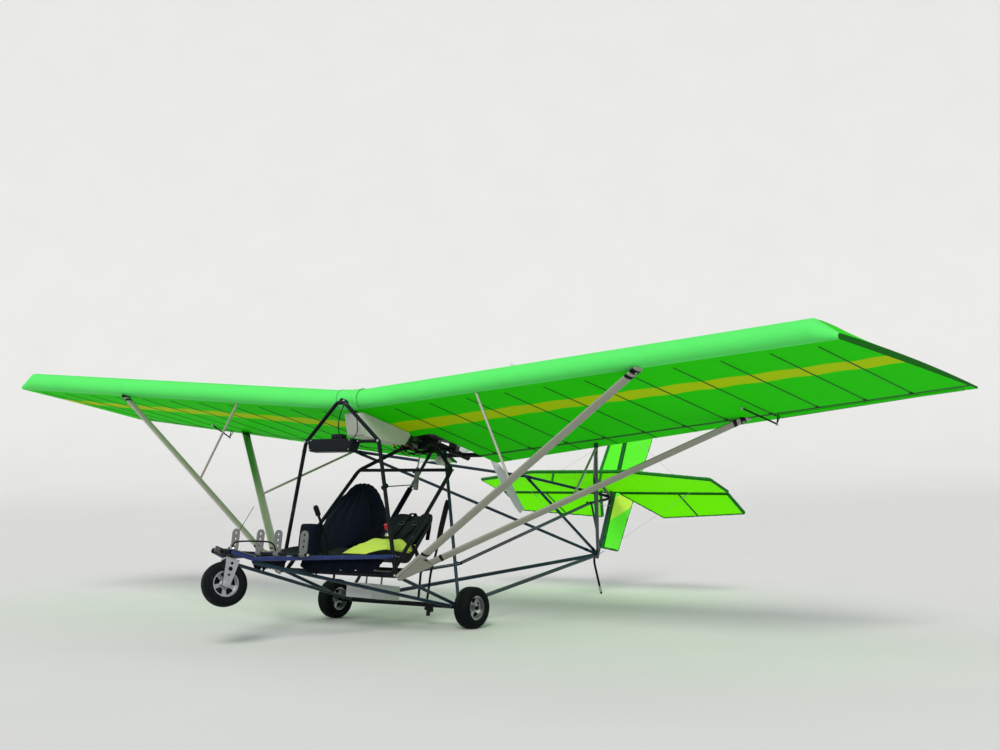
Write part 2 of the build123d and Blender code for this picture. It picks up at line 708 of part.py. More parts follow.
def wing_section(x_front, x_rear, roll, crown, trailing):
    """Wing section in the upright plane through the two spars at their stations."""
    front = Vector(*front_spar(x_front))
    rear = Vector(*rear_spar(x_rear))
    along = (rear - front).normalized()
    up = (Vector(0, 0, 1) - along * along.Z).normalized()
    chord = (rear - front).length + trailing
    centre = front + up * roll
    nose = centre - along * roll
    top = centre + up * roll
    crown_point = front + along * (chord * CROWN_SHARE) + up * crown
    tail_top = front + along * chord + up * TRAILING_EDGE
    tail_low = front + along * chord
    edges = [
        ThreePointArc(front, nose, top),
        ThreePointArc(top, crown_point, tail_top),
        Line(tail_top, tail_low),
        Line(tail_low, front),
    ]
    return Face(Wire(edges)).outer_wire()


def whole_wing():
    """Port wing panel with its aileron still in it and room for the engine."""
    root = wing_section(WING_ROOT_X, WING_ROOT_X, ROLL_RADIUS, CROWN_HEIGHT, TRAILING_ROOT)
    rib = wing_section(TIP_RIB_X, TIP_RIB_X, ROLL_RADIUS, CROWN_HEIGHT, TRAILING_TIP)
    tip = wing_section(TIP_FRONT_X, TIP_REAR_X, TIP_ROLL_RADIUS, TIP_CROWN_HEIGHT, TRAILING_TIP)
    wing = Solid.make_loft([root, rib], True) + Solid.make_loft([rib, tip], True)
    bay = Solid.make_box(
        ENGINE_BAY_X, BAY_REACH, BAY_REACH, Plane((0, ENGINE_BAY_Y, SPAR_ROOT_Z - BAY_REACH / 2))
    )
    return largest(wing - bay)


def behind_hinge(forward, sideways):
    """Room behind a line ahead of the aileron's axis, between its ends."""
    start, end = Vector(*AILERON_HINGE.start), Vector(*AILERON_HINGE.end)
    along = (end - start).normalized()
    aft = Vector(0, 0, 1).cross(along) * 1.0
    plane = Plane(origin=start, x_dir=along, z_dir=along.cross(aft))
    corner = plane.from_local_coords((-sideways, -forward, -CUT_REACH))
    length = (end - start).length + 2 * sideways
    base = Plane(origin=corner, x_dir=along, z_dir=plane.z_dir)
    return Solid.make_box(length, 2 * CUT_REACH, 2 * CUT_REACH, base)


def wing_and_aileron():
    """Port wing with its hinge eyes, and the aileron that turns in them."""
    whole = whole_wing()
    gap = AILERON_TUBE / 2 + 2 * MOVING_CLEARANCE
    wing = largest(whole - behind_hinge(gap, MOVING_CLEARANCE))
    aileron = largest(whole & behind_hinge(0.0, 0.0))
    for share in AILERON_EYES:
        centre = Vector(*between(AILERON_HINGE.start, AILERON_HINGE.end, share))
        inside = (centre.X, centre.Y - gap - EYE_WIDTH, centre.Z)
        wing = wing + AILERON_HINGE.arm(share, inside) + AILERON_HINGE.eye(share)
        aileron = aileron - AILERON_HINGE.room(share)
    aileron = aileron + AILERON_HINGE.tube_solid()
    return largest(wing), largest(aileron)


# Struts


def strut(top, chord_toward):
    """Streamlined tube from the strut foot to a point on the wing."""
    foot = Vector(*STRUT_FOOT)
    heading = Vector(*top) - foot
    normal = heading.cross(Vector(*chord_toward) - foot)
    plane = Plane(origin=foot, x_dir=heading.cross(normal), z_dir=heading)
    section = plane * Ellipse(STRUT_CHORD / 2, STRUT_THICKNESS / 2)
    body = extrude(section, heading.length + STRUT_CHORD)
    return under_wing(body, top[0], top[1])


def strut_plane():
    """Plane through the foot and both struts, its X axis midway between them."""
    foot = Vector(*STRUT_FOOT)
    front = (Vector(*front_spar(STRUT_STATION)) - foot).normalized()
    rear = (Vector(*rear_spar(STRUT_STATION)) - foot).normalized()
    return Plane(origin=foot, x_dir=front + rear, z_dir=front.cross(rear))


def lift_struts():
    """Port front strut, rear strut and the foot bracket that holds both."""
    plane = strut_plane()
    front = strut(front_spar(STRUT_STATION), rear_spar(STRUT_STATION))
    rear = strut(rear_spar(STRUT_STATION), front_spar(STRUT_STATION))
    lift = STRUT_THICKNESS / 2 + SEAT_GAP
    boss = rod(
        plane.from_local_coords((0, 0, -lift - GUSSET_PLATE)),
        plane.from_local_coords((0, 0, lift + GUSSET_PLATE)),
        STRUT_BOSS,
    )
    boss_room = rod(
        plane.from_local_coords((0, 0, -2 * lift)),
        plane.from_local_coords((0, 0, 2 * lift)),
        STRUT_BOSS + 2 * SEAT_GAP,
    )
    front = largest(front - boss_room)
    half = 0.5 * (Vector(*front_spar(STRUT_STATION)) - plane.origin).get_angle(
        Vector(*rear_spar(STRUT_STATION)) - plane.origin
    )
    reach_x = GUSSET_LENGTH * cos(radians(half))
    reach_y = GUSSET_LENGTH * sin(radians(half)) + STRUT_CHORD / 3
    side = STRUT_BOSS / 2
    lower = ((-side, -side), (side, -1.6 * side), (reach_x, -reach_y))
    upper = tuple((x, -y) for x, y in reversed(lower))
    outline = make_face(Polyline(*lower, *upper, close=True))
    outline = fillet(outline.vertices(), side / 2)
    plates = [
        extrude(plane * Pos(0, 0, lift) * outline, GUSSET_PLATE),
        extrude(plane * Pos(0, 0, -lift - GUSSET_PLATE) * outline, GUSSET_PLATE),
    ]
    lug = rod((FOOT_BAR_END + SEAT_GAP, FOOT_Y, FOOT_Z), STRUT_FOOT, LUG_DIAMETER)
    bracket = largest(fused([boss, lug] + plates) - ARCH.solid(SEAT_GAP) - DRAG_BRACE.solid(SEAT_GAP))
    bracket = largest(bracket - FOOT_BAR.solid(SEAT_GAP))
    front_room = strut_room(front_spar(STRUT_STATION), rear_spar(STRUT_STATION))
    rear = largest(rear - boss_room - front_room)
    return front, rear, bracket


def strut_room(top, chord_toward):
    """A strut grown by a fit, to cut its neighbours with."""
    foot = Vector(*STRUT_FOOT)
    heading = Vector(*top) - foot
    normal = heading.cross(Vector(*chord_toward) - foot)
    start = foot - heading.normalized() * STRUT_CHORD
    plane = Plane(origin=start, x_dir=heading.cross(normal), z_dir=heading)
    section = plane * Ellipse(STRUT_CHORD / 2 + SEAT_GAP, STRUT_THICKNESS / 2 + SEAT_GAP)
    return extrude(section, heading.length + STRUT_CHORD)


def jury_struts():
    """Thin tubes from the wing and the boom fitting down to the lift struts."""
    front_top = front_spar(JURY_STATION)
    front_foot = at_x(STRUT_FOOT, front_spar(STRUT_STATION), JURY_FRONT_X)
    up = (Vector(*front_top) - Vector(*front_foot)).normalized() * STRUT_CHORD
    front = rod(front_foot, (Vector(*front_top) + up), JURY_TUBE)
    front = under_wing(front, front_top[0], front_top[1])
    front = largest(front - strut_room(front_spar(STRUT_STATION), rear_spar(STRUT_STATION)))
    rear_foot = at_x(STRUT_FOOT, rear_spar(STRUT_STATION), JURY_REAR_X)
    rear = rod(rear_foot, BOOM_ROOT, JURY_TUBE) - BOOM_FOOT.solid(SEAT_GAP)
    rear = rear - UPPER_BOOM.solid(SEAT_GAP) - DIAGONAL.solid(SEAT_GAP)
    rear = largest(rear - strut_room(rear_spar(STRUT_STATION), front_spar(STRUT_STATION)))
    return [front, rear]


# Tail surfaces


def stab_z(y):
    """Height of the tailplane at a distance aft."""
    return STAB_FRONT_Z - STAB_SLOPE * (y - STAB_FRONT_Y)


ELEVATOR_HINGE = HingeLine(
    (-ELEVATOR_OUTLINE[-1][0], ELEVATOR_AXIS_Y, stab_z(ELEVATOR_AXIS_Y)),
    (ELEVATOR_OUTLINE[-1][0], ELEVATOR_AXIS_Y, stab_z(ELEVATOR_AXIS_Y)),
    HINGE_TUBE,
)
RUDDER_HINGE = HingeLine(
    (0.0, post_y(RUDDER_LOW_Z, RUDDER_OFFSET), RUDDER_LOW_Z),
    (0.0, post_y(RUDDER_TOP_Z, RUDDER_OFFSET), RUDDER_TOP_Z),
    HINGE_TUBE,
)


def frame_surface(corners, ribs, tube=SURFACE_TUBE, open_edge=None):
    """Fabric surface: tubes round its corners, thinner ribs, and a sheet at mid height."""
    points = [Vector(*corner) for corner in corners]
    sheet = Face(Wire.make_polygon(points))
    pieces = [extrude(sheet, amount=SURFACE_SKIN / 2, both=True)]
    for index, (start, end) in enumerate(zip(corners, corners[1:] + corners[:1])):
        if index == open_edge:
            continue
        pieces.append(rod(start, end, tube))
        pieces.append(Solid.make_sphere(tube / 2 + CORNER_SWELL, Plane(origin=start), angle1=-90, angle2=90))
    pieces += [rod(start, end, tube * RIB_SHARE) for start, end in ribs]
    return fused(pieces)


def stabiliser():
    """Fixed tailplane with its hinge eyes and the lugs down to the booms."""
    port = [(x, y, stab_z(y)) for x, y in STAB_OUTLINE]
    corners = port[1:-1] + [starboard(p) for p in reversed(port[1:-1])]
    ribs = []
    for x in STAB_RIBS:
        front_y = STAB_FRONT_Y
        if x > STAB_OUTLINE[1][0]:
            inner, outer = STAB_OUTLINE[1:3]
            front_y = between(inner, outer, (x - inner[0]) / (outer[0] - inner[0]))[1]
        line = ((x, front_y, stab_z(front_y)), (x, STAB_REAR_Y, stab_z(STAB_REAR_Y)))
        ribs.append(line)
        if x:
            ribs.append(tuple(starboard(p) for p in line))
    body = frame_surface(corners, ribs)
    for x in ELEVATOR_EYES:
        for side in (-1, 1):
            share = 0.5 + side * x / (2 * ELEVATOR_OUTLINE[-1][0])
            body = body + ELEVATOR_HINGE.eye(share)
            body = body + ELEVATOR_HINGE.arm(share, (side * x, STAB_REAR_Y, stab_z(STAB_REAR_Y)))
    rear_lug_x, front_lug_x = STAB_LUG_X
    for x, y in ((rear_lug_x, STAB_REAR_Y), (front_lug_x, STAB_FRONT_Y)):
        line = (x, y, stab_z(y)), at_x(KNEE, TAIL_TOP, x)
        body = body + rod(*line, LUG_DIAMETER) + rod(starboard(line[0]), starboard(line[1]), LUG_DIAMETER)
    body = body - UPPER_BOOM.solid(SEAT_GAP) - UPPER_BOOM.mirrored().solid(SEAT_GAP)
    return largest(body - CENTRE_BOOM.solid(SEAT_GAP))


def elevator():
    """Both elevator halves on one torque tube, drooped as at rest."""
    axis_y, axis_z = ELEVATOR_AXIS_Y, stab_z(ELEVATOR_AXIS_Y)
    drop, aft = sin(radians(ELEVATOR_DROOP)), cos(radians(ELEVATOR_DROOP))
    pieces = []
    for side in (-1, 1):
        corners = [(side * x, axis_y + c * aft, axis_z - c * drop) for x, c in ELEVATOR_OUTLINE]
        ribs = []
        for x in ELEVATOR_RIBS:
            inner, outer = ELEVATOR_OUTLINE[1], ELEVATOR_OUTLINE[2]
            chord = inner[1] + (outer[1] - inner[1]) * (x - inner[0]) / (outer[0] - inner[0])
            tip = (side * x, axis_y + chord * aft, axis_z - chord * drop)
            ribs.append(((side * x, axis_y, axis_z), tip))
        half = frame_surface(corners, ribs, HINGE_TUBE, open_edge=len(corners) - 1)
        for x in ELEVATOR_EYES[1:]:
            half = half - ELEVATOR_HINGE.room(0.5 + side * x / (2 * ELEVATOR_OUTLINE[-1][0]))
        pieces.append(half)
    return largest(fused([ELEVATOR_HINGE.tube_solid()] + pieces))


def rudder_share(z):
    """Share of the rudder's hinge line at a height."""
    return (z - RUDDER_LOW_Z) / (RUDDER_TOP_Z - RUDDER_LOW_Z)


def rudder():
    """Tall rudder on the raked line behind the post."""
    corners = [RUDDER_HINGE.start] + [(0.0, y, z) for y, z in RUDDER_EDGE] + [RUDDER_HINGE.end]
    ribs = []
    for rib, (y, z) in zip(RUDDER_RIBS, RUDDER_EDGE[1:3]):
        front = between(RUDDER_HINGE.start, RUDDER_HINGE.end, rudder_share(rib))
        ribs.append((front, (0.0, y, z)))
    body = frame_surface(corners, ribs, HINGE_TUBE, open_edge=len(corners) - 1)
    for z in RUDDER_EYES:
        body = body - RUDDER_HINGE.room(rudder_share(z))
    return largest(body + RUDDER_HINGE.tube_solid())


def fin():
    """Fixed fin between the stabiliser and the top of the tail post."""
    rear_low = (0.0, post_y(FIN_BASE_REAR_Z), FIN_BASE_REAR_Z)
    rear_top = (0.0, post_y(RUDDER_TOP_Z - 2 * POST_TUBE), RUDDER_TOP_Z - 2 * POST_TUBE)
    corners = [(0.0, *FIN_BASE), (0.0, *FIN_TOP_FRONT), rear_top, rear_low]
    body = frame_surface(corners, [], HINGE_TUBE, open_edge=2)
    return largest(body - POST.solid(SEAT_GAP))


def tail_post():
    """Raked post with the rudder's eyes and the short stern brace to the centre boom."""
    body = POST.solid()
    for z in RUDDER_EYES:
        share = rudder_share(z)
        body = body + RUDDER_HINGE.eye(share) + RUDDER_HINGE.arm(share, (0.0, post_y(z), z))
    body = body + rod(*STERN_BRACE, JURY_TUBE)
    return largest(body - CENTRE_BOOM.solid(SEAT_GAP))


# Propeller and engine


def blade(angle):
    """One blade, twisted along its length."""
    outlines = []
    for radius, chord, thickness, pitch in BLADE_STATIONS:
        across = (cos(radians(pitch)), sin(radians(pitch)), 0)
        plane = Plane(origin=(0, 0, radius), x_dir=across, z_dir=(0, 0, 1))
        outlines.append((plane * Ellipse(chord / 2, thickness / 2)).wire())
    body = Solid.make_loft(outlines)
    body = Rot(0, angle, 0) * body
    room = rod((0, -PROP_HUB_LENGTH, 0), (0, PROP_HUB_LENGTH, 0), PROP_HUB + 2 * SEAT_GAP)
    return Pos(0, PROP_Y, PROP_Z) * largest(body - room)


def propeller_hub():
    """Turned hub and its nut, with the shaft's bore."""
    start, end = PROP_Y - PROP_HUB_LENGTH / 2, PROP_Y + PROP_HUB_LENGTH / 2
    hub = rod((0, start, PROP_Z), (0, end, PROP_Z), PROP_HUB)
    spinner = rod((0, end, PROP_Z), (0, end + NUT_LENGTH, PROP_Z), PROP_HUB / 2)
    bore = rod((0, start - 1, PROP_Z), (0, end, PROP_Z), SHAFT_DIAMETER + 2 * RUNNING_GAP)
    return hub + spinner - bore


def engine_block():
    """Crankcase, reduction gearcase, propeller shaft and the saddles on the root tube."""
    width, length, height = CASE_SIZE
    case = fillet(Box(width, length, height).edges().filter_by(Axis.Y), height / 6)
    case = Pos(*CASE_CENTRE) * case
    rear = CASE_CENTRE[1] + length / 2
    gears = rod((0, rear - 1, PROP_Z), (0, rear + GEARCASE_LENGTH, PROP_Z), GEARCASE_DIAMETER)
    shaft = rod((0, rear, PROP_Z), (0, PROP_Y + PROP_HUB_LENGTH / 2 - SEAT_GAP, PROP_Z), SHAFT_DIAMETER)
    pieces = [case, gears, shaft]
    for y in SADDLES_Y:
        low = root_tube_z(y)
        saddle_width, saddle_length = SADDLE_SIZE
        tall = CASE_CENTRE[2] - low
        pieces.append(Pos(0, y, low + tall / 2) * Box(saddle_width, saddle_length, tall))
    return largest(fused(pieces) - ROOT.solid(SEAT_GAP))


def engine_cylinders():
    """Two finned barrels with their heads, upright on the crankcase."""
    pieces = []
    base = CASE_CENTRE[2] + CASE_SIZE[2] / 2 + SEAT_GAP
    for y in CYLINDERS_Y:
        top = base + FINS * FIN_PITCH
        barrel = rod((0, y, base), (0, y, top), BARREL_DIAMETER)
        fins = [
            Pos(0, y, base + FIN_PITCH * (step + 0.5)) * Box(*CYLINDER_SIZE, FIN_THICKNESS)
            for step in range(FINS)
        ]
        head = Pos(0, y, top + HEAD_HEIGHT / 2) * Box(BARREL_DIAMETER, BARREL_DIAMETER, HEAD_HEIGHT)
        pieces.append(fused([barrel, head] + fins))
    return pieces


def exhaust():
    """Silencer beside the cylinders with its two inlet stubs and a tail pipe."""
    front = (SILENCER_X, SILENCER_FRONT_Y, SILENCER_Z)
    rear = (SILENCER_X, SILENCER_REAR_Y, SILENCER_Z)
    can = rod(front, rear, SILENCER_DIAMETER)
    can = fillet(can.edges(), SILENCER_DIAMETER / 5)
    pieces = [can]
    face = -CASE_SIZE[0] / 2 - SEAT_GAP
    for y in CYLINDERS_Y:
        pieces.append(rod((face, y, SILENCER_Z), (SILENCER_X, y, SILENCER_Z), PIPE_DIAMETER))
    tail = Tube(
        (
            (SILENCER_X, SILENCER_FRONT_Y + SILENCER_DIAMETER / 2, SILENCER_Z),
            (SILENCER_X, SILENCER_FRONT_Y + SILENCER_DIAMETER / 2, SILENCER_Z - 2 * SILENCER_DIAMETER),
        ),
        TAIL_PIPE,
    )
    return fused(pieces + [tail.solid()])


# Cabin


def outline_solid(points, x_start, x_end):
    """Prism across the aircraft from a side outline of Y and Z pairs."""
    face = Face(Wire.make_polygon([Vector(x_start, y, z) for y, z in points]))
    return extrude(face, amount=x_end - x_start, dir=(1, 0, 0)).solid()


def seat(sign, grow=0.0, posts=True):
    """Bucket seat shell with its side walls and four posts."""
    half = SEAT_WIDTH / 2 + grow
    path = Wire(FilletPolyline(*[(y, z) for y, z in SEAT_PROFILE], radius=SEAT_SHELL * 8).edges())
    strip = trace(path, line_width=SEAT_SHELL + 2 * grow)
    shell = extrude(Plane.YZ * strip, half, both=True)
    walls = []
    for side in (-1, 1):
        inner = side * (half - SEAT_SHELL - 2 * grow)
        wall = outline_solid(SEAT_WALL, min(inner, side * half), max(inner, side * half))
        walls.append(wall)
    pieces = [shell] + walls
    if posts:
        for x in SEAT_POST_X:
            foot = (x - SEAT_X) * 1.0
            for y, z in ((FOOT_Y, FOOT_Z), (SEAT_BAR_Y, SEAT_BAR_Z)):
                pieces.append(rod((foot, y, z), (foot, y, seat_height(y)), SEAT_POST))
    body = Pos(sign * SEAT_X, 0, 0) * fused(pieces)
    if posts:
        body = largest(body - FOOT_BAR.solid(SEAT_GAP) - SEAT_BAR.solid(SEAT_GAP))
    return body


def seat_height(y):
    """Height of the seat shell's mid line at a distance aft."""
    front, corner, top = SEAT_PROFILE
    if y < corner[0]:
        return front[1] + (corner[1] - front[1]) * (y - front[0]) / (corner[0] - front[0])
    return corner[1] + (top[1] - corner[1]) * (y - corner[0]) / (top[0] - corner[0])


def cushions():
    """Seat and back cushion of the port seat."""
    half = SEAT_WIDTH / 2 - SEAT_SHELL - 2 * SEAT_GAP
    pieces = []
    for outline in (CUSHION_BASE, CUSHION_BACK):
        pad = outline_solid(outline, SEAT_X - half, SEAT_X + half)
        pad = largest(pad - seat(1, SEAT_GAP, False))
        pieces.append(pad)
    return pieces


def seat_cover():
    """Cloth cover drawn over the starboard seat's back."""
    half = COVER_WIDTH / 2
    bag = outline_solid(COVER_OUTLINE, -SEAT_X - half, -SEAT_X + half)
    bag = fillet(bag.edges().filter_by(Axis.X), COVER_CORNER)
    low, high = COVER_OUTLINE[-1][1] - COVER_CORNER, COVER_OUTLINE[1][1] + COVER_CORNER
    peak = COVER_PEAK_WIDTH / 2
    left = ((-half, low), (-half, COVER_SHOULDER_Z), (-peak, high))
    right = tuple((-x, z) for x, z in reversed(left))
    front = make_face(Polyline(*left, *right, close=True))
    front = fillet(front.vertices().sort_by(Axis.Y)[2:], COVER_CORNER)
    bag = bag & Pos(-SEAT_X, 0, 0) * extrude(Plane.XZ * front, 2 * CUT_REACH, both=True)
    return largest(bag - seat(-1, 2 * SEAT_GAP, False) - seat_post_room())


def seat_post_room():
    """Room for the rear posts of the covered seat."""
    top = seat_height(SEAT_BAR_Y)
    rooms = []
    for x in SEAT_POST_X:
        foot = (-x, SEAT_BAR_Y, SEAT_BAR_Z)
        rooms.append(rod(foot, (-x, SEAT_BAR_Y, top), SEAT_POST + 4 * SEAT_GAP))
    return fused(rooms)


def fuel_tank():
    """Long tank hung under the root tube on two pads."""
    def top(y):
        return wing_underside(WING_ROOT_X, y).origin.Z - TANK_DROP
    outline = [
        (TANK_FRONT_Y, top(TANK_FRONT_Y)),
        (TANK_REAR_Y, top(TANK_REAR_Y)),
        (TANK_REAR_Y - TANK_SLOPE, TANK_BOTTOM_Z),
        (TANK_FRONT_Y + TANK_SLOPE, TANK_BOTTOM_Z),
    ]
    tank = outline_solid(outline, -TANK_WIDTH / 2, TANK_WIDTH / 2)
    tank = fillet(tank.edges().filter_by(Axis.X), TANK_CORNER)
    for y in TANK_PADS:
        low, high = top(y) - TANK_DROP, root_tube_z(y)
        tank = tank + Pos(0, y, (low + high) / 2) * Box(ROOT_TUBE * 0.8, TANK_PAD_LENGTH, high - low)
    return largest(tank - ROOT.solid(SEAT_GAP))


def instrument_pod():
    """Tapered instrument box that the panel bar runs through."""
    width, depth, height = POD_SIZE
    high, low = POD_ABOVE_BAR, POD_ABOVE_BAR - height
    corners = ((-width / 2, high), (width / 2, high), (POD_LOW_WIDTH / 2, low), (-POD_LOW_WIDTH / 2, low))
    face = Plane.XZ * make_face(Polyline(*corners, close=True))
    pod = extrude(face, depth / 2, both=True)
    pod = Pos(POD_X, ARCH_BEND_Y, ARCH_BEND_Z) * fillet(pod.edges(), POD_CORNER)
    return largest(pod - PANEL_BAR.solid(SEAT_GAP))


def pedals():
    """Four pierced foot plates standing on the pedal bar."""
    pieces = []
    room = PEDAL_BAR.solid(SEAT_GAP)
    tall = PEDAL_TOP_Z - PEDAL_BAR_Z
    plate = Pos(0, tall / 2) * RectangleRounded(PEDAL_WIDTH, tall, PEDAL_WIDTH / 2.2)
    for share in PEDAL_HOLES:
        plate = plate - Pos(0, tall * share) * Circle(PEDAL_HOLE / 2)
    for x in PEDALS_X:
        for side in (-1, 1):
            at = Pos(side * x, PEDAL_BAR_Y, PEDAL_BAR_Z)
            body = at * extrude(Plane.XZ * plate, PEDAL_PLATE / 2, both=True)
            ring = rod(
                (side * x - PEDAL_WIDTH / 3, PEDAL_BAR_Y, PEDAL_BAR_Z),
                (side * x + PEDAL_WIDTH / 3, PEDAL_BAR_Y, PEDAL_BAR_Z),
                PEDAL_BAR_TUBE + 2 * EYE_WALL,
            )
            pieces.append(largest(body + ring - room))
    return pieces


def control_stick():
    """Bent stick with its grip."""
    stick = Tube(STICK_POINTS, STICK_DIAMETER, BEND_RADIUS)
    grip = rod(between(STICK_POINTS[1], STICK_POINTS[2], 0.35), STICK_POINTS[2], GRIP_DIAMETER)
    body = stick.solid() + grip
    return largest(body - FOOT_BAR.solid(SEAT_GAP) - CENTRE_BOOM.solid(SEAT_GAP))


def belly_tray():
    """Shallow open tray hung from the centre boom."""
    length = TRAY_REAR_Y - TRAY_FRONT_Y
    height = TRAY_TOP_Z - TRAY_BOTTOM_Z
    corner = (-TRAY_WIDTH / 2, TRAY_FRONT_Y, TRAY_BOTTOM_Z)
    outer = Solid.make_box(TRAY_WIDTH, length, height, Plane(corner))
    outer = fillet(outer.edges().filter_by(Axis.Z), TRAY_WALL * 4)
    inner = offset(outer, -TRAY_WALL)
    inner = inner + Pos(0, 0, TRAY_WALL * 2) * inner
    tray = outer - inner
    for y in TRAY_HANGERS:
        low = (0, y, TRAY_BOTTOM_Z + TRAY_WALL / 2)
        tray = tray + rod(low, (0, y, SEAT_BAR_Z - BRACE_TUBE), TRAY_HANGER)
    return largest(tray - CENTRE_BOOM.solid(SEAT_GAP))


# The whole aircraft


def cross_bars():
    """Bars across the frame: at the feet, the pedals, the seats, the panel and the bow."""
    posts = []
    for side in (-1, 1):
        keel_x = KEEL_REAR_X + (RAIL_BEND_X - KEEL_REAR_X) * SEAT_BAR_Y / RAIL_BEND_Y
        keel_z = KEEL_FRONT[2] * SEAT_BAR_Y / RAIL_BEND_Y
        low = (side * keel_x, SEAT_BAR_Y, keel_z)
        posts.append(rod(low, (side * keel_x, SEAT_BAR_Y, SEAT_BAR_Z), JURY_TUBE))
    seat_bar = fused([SEAT_BAR.solid()] + posts)
    seat_bar = largest(seat_bar - KEEL.solid(SEAT_GAP) - KEEL.mirrored().solid(SEAT_GAP))
    panel_bar = largest(PANEL_BAR.solid() - ARCH.solid(SEAT_GAP))
    bow_bar = coped(BOW_BAR, BOW, BOW.mirrored())
    return [FOOT_BAR.solid(), PEDAL_BAR.solid(), seat_bar, panel_bar, bow_bar]


def main_axle():
    """Axle tube with a turned stub for each main wheel."""
    stub = wheel_axle(AXLE_END[0] - MAIN_TUBE, NUT_DIAMETER)
    return fused([AXLE.solid(), stub, stub.mirror(Plane.YZ)])


def root_tube():
    """Tube between the wing roots with the carry tube of the rear spars."""
    z = root_tube_z(REAR_ROOT_Y)
    reach = ENGINE_BAY_X - SEAT_GAP
    carry = rod((-reach, REAR_ROOT_Y, z), (reach, REAR_ROOT_Y, z), CARRY_TUBE)
    return largest(ROOT.solid() + carry - ARCH.solid(SEAT_GAP))


def static_frame():
    """Frame pieces of the fixed airframe by name, before it is tipped back to park."""
    arch = coped(ARCH, FOOT_BAR)
    rail = coped(RAIL, NOSE_BAR, ARCH)
    keel = coped(KEEL, RAIL, AXLE)
    drag_brace = coped(DRAG_BRACE, FOOT_BAR, ARCH, AXLE)
    bow = coped(BOW, FOOT_BAR, BEARERS[0])
    rear_leg = coped(REAR_LEG, AXLE, BEARERS[1], DRAG_BRACE)
    upper = port_half(coped(UPPER_BOOM, BOOM_FOOT, POST))
    lower = port_half(coped(LOWER_BOOM, AXLE, POST))
    diagonal = port_half(coped(DIAGONAL, BOOM_FOOT, UPPER_BOOM, POST, LOWER_BOOM))
    knee_brace = port_half(coped(KNEE_BRACE, UPPER_BOOM, POST, LOWER_BOOM, DIAGONAL))
    centre = coped(CENTRE_BOOM, FOOT_BAR, POST, UPPER_BOOM, UPPER_BOOM.mirrored())
    skid = coped(SKID, LOWER_BOOM, LOWER_BOOM.mirrored(), POST, DIAGONAL, DIAGONAL.mirrored())
    fitting = under_wing(BOOM_FOOT.solid(), BOOM_ROOT[0], BOOM_ROOT[1])
    return {
        "front_arch": [arch],
        "side_rails": both_sides([rail]),
        "keel_rails": both_sides([keel, drag_brace]),
        "cross_bars": cross_bars() + [NOSE_BAR.solid()],
        "rear_bow": both_sides([bow]),
        "rear_legs": both_sides([rear_leg]),
        "root_tube": [root_tube()],
        "bearers": [bearer.solid() for bearer in BEARERS],
        "main_axle": [main_axle()],
        "upper_booms": both_sides([upper]),
        "boom_fittings": both_sides([fitting]),
        "lower_booms": both_sides([lower]),
        "truss_diagonals": both_sides([diagonal, knee_brace]),
        "centre_boom": [centre],
        "tail_skid": [skid + Solid.make_sphere(SKID_ROD / 2, Plane(SKID.points[-1]), angle1=-90, angle2=90)],
    }


def wheel_pieces():
    """Tyres and rims by name; the nose wheel is turned with its fork."""
    pieces = {}
    for name, centre in WHEEL_CENTRES.items():
        for kind, make in (("tyre", tyre), ("rim", rim)):
            pieces[f"{kind}_{name}"] = [Pos(*centre) * make()]
    return pieces


def steered(piece):
    """Piece turned with the nose wheel as it stands."""
    axis = Axis(WHEEL_CENTRES["nose"], tuple(STEER_AXIS))
    return piece.rotate(axis, STEER_AT_REST)


PARK_ANGLE = degrees(
    atan2(SKID_TIP_Z, SKID_TIP_Y)
    + asin((TYRE_DIAMETER - SKID_ROD) / 2 / hypot(SKID_TIP_Y, SKID_TIP_Z))
)


def aircraft():
    """Every node's solids, level, with the main wheel axle at the origin."""
    wing, aileron = wing_and_aileron()
    front_strut, rear_strut, foot = lift_struts()
    nodes = static_frame()
    nodes.update(wheel_pieces())
    for name in ("tyre_nose", "rim_nose"):
        nodes[name] = [steered(piece) for piece in nodes[name]]
    nodes.update({
        "nose_plate": [nose_plate()],
        "nose_fork": [steered(fork())],
        "lift_struts_front": both_sides([front_strut]),
        "lift_struts_rear": both_sides([rear_strut]),
        "jury_struts": both_sides(jury_struts()),
        "strut_feet": both_sides([foot]),
        "wing_port": [wing],
        "wing_starboard": [wing.mirror(Plane.YZ)],
        "aileron_port": [aileron],
        "aileron_starboard": [aileron.mirror(Plane.YZ)],
        "stabiliser": [stabiliser()],
        "elevator": [elevator()],
        "fin": [fin()],
        "rudder": [rudder()],
        "tail_post": [tail_post()],
        "propeller_hub": [propeller_hub()],
        "propeller_blades": [blade(PROP_FIRST_ANGLE + n * 360 / PROP_BLADES) for n in range(PROP_BLADES)],
        "engine_block": [engine_block()],
        "engine_cylinders": engine_cylinders(),
        "exhaust": [exhaust()],
        "seats": [seat(1), seat(-1)],
        "seat_cushions": cushions(),
        "seat_cover": [seat_cover()],
        "fuel_tank": [fuel_tank()],
        "instrument_pod": [instrument_pod()],
        "pedals": pedals(),
        "control_stick": [control_stick()],
        "belly_tray": [belly_tray()],
    })
    return nodes


def parked(nodes):
    """The nodes tipped back on the skid and moved so that the box's bottom centre is the origin."""
    tipped = {
        name: [piece.rotate(Axis.X, -PARK_ANGLE) for piece in pieces] for name, pieces in nodes.items()
    }
    box = Compound([piece for pieces in tipped.values() for piece in pieces]).bounding_box()
    shift = Pos(-(box.min.X + box.max.X) / 2, -(box.min.Y + box.max.Y) / 2, -box.min.Z)
    return {name: [shift * piece for piece in pieces] for name, pieces in tipped.items()}


def main():
    """Writes one file for each node."""
    os.makedirs("parts", exist_ok=True)
    nodes = parked(aircraft())
    for name, pieces in nodes.items():
        solids = [solid for piece in pieces for solid in piece.solids()]
        shape = solids[0] if len(solids) == 1 else Compound(solids)
        export_step(shape, f"parts/{name}.step")


if __name__ == "__main__":
    main()
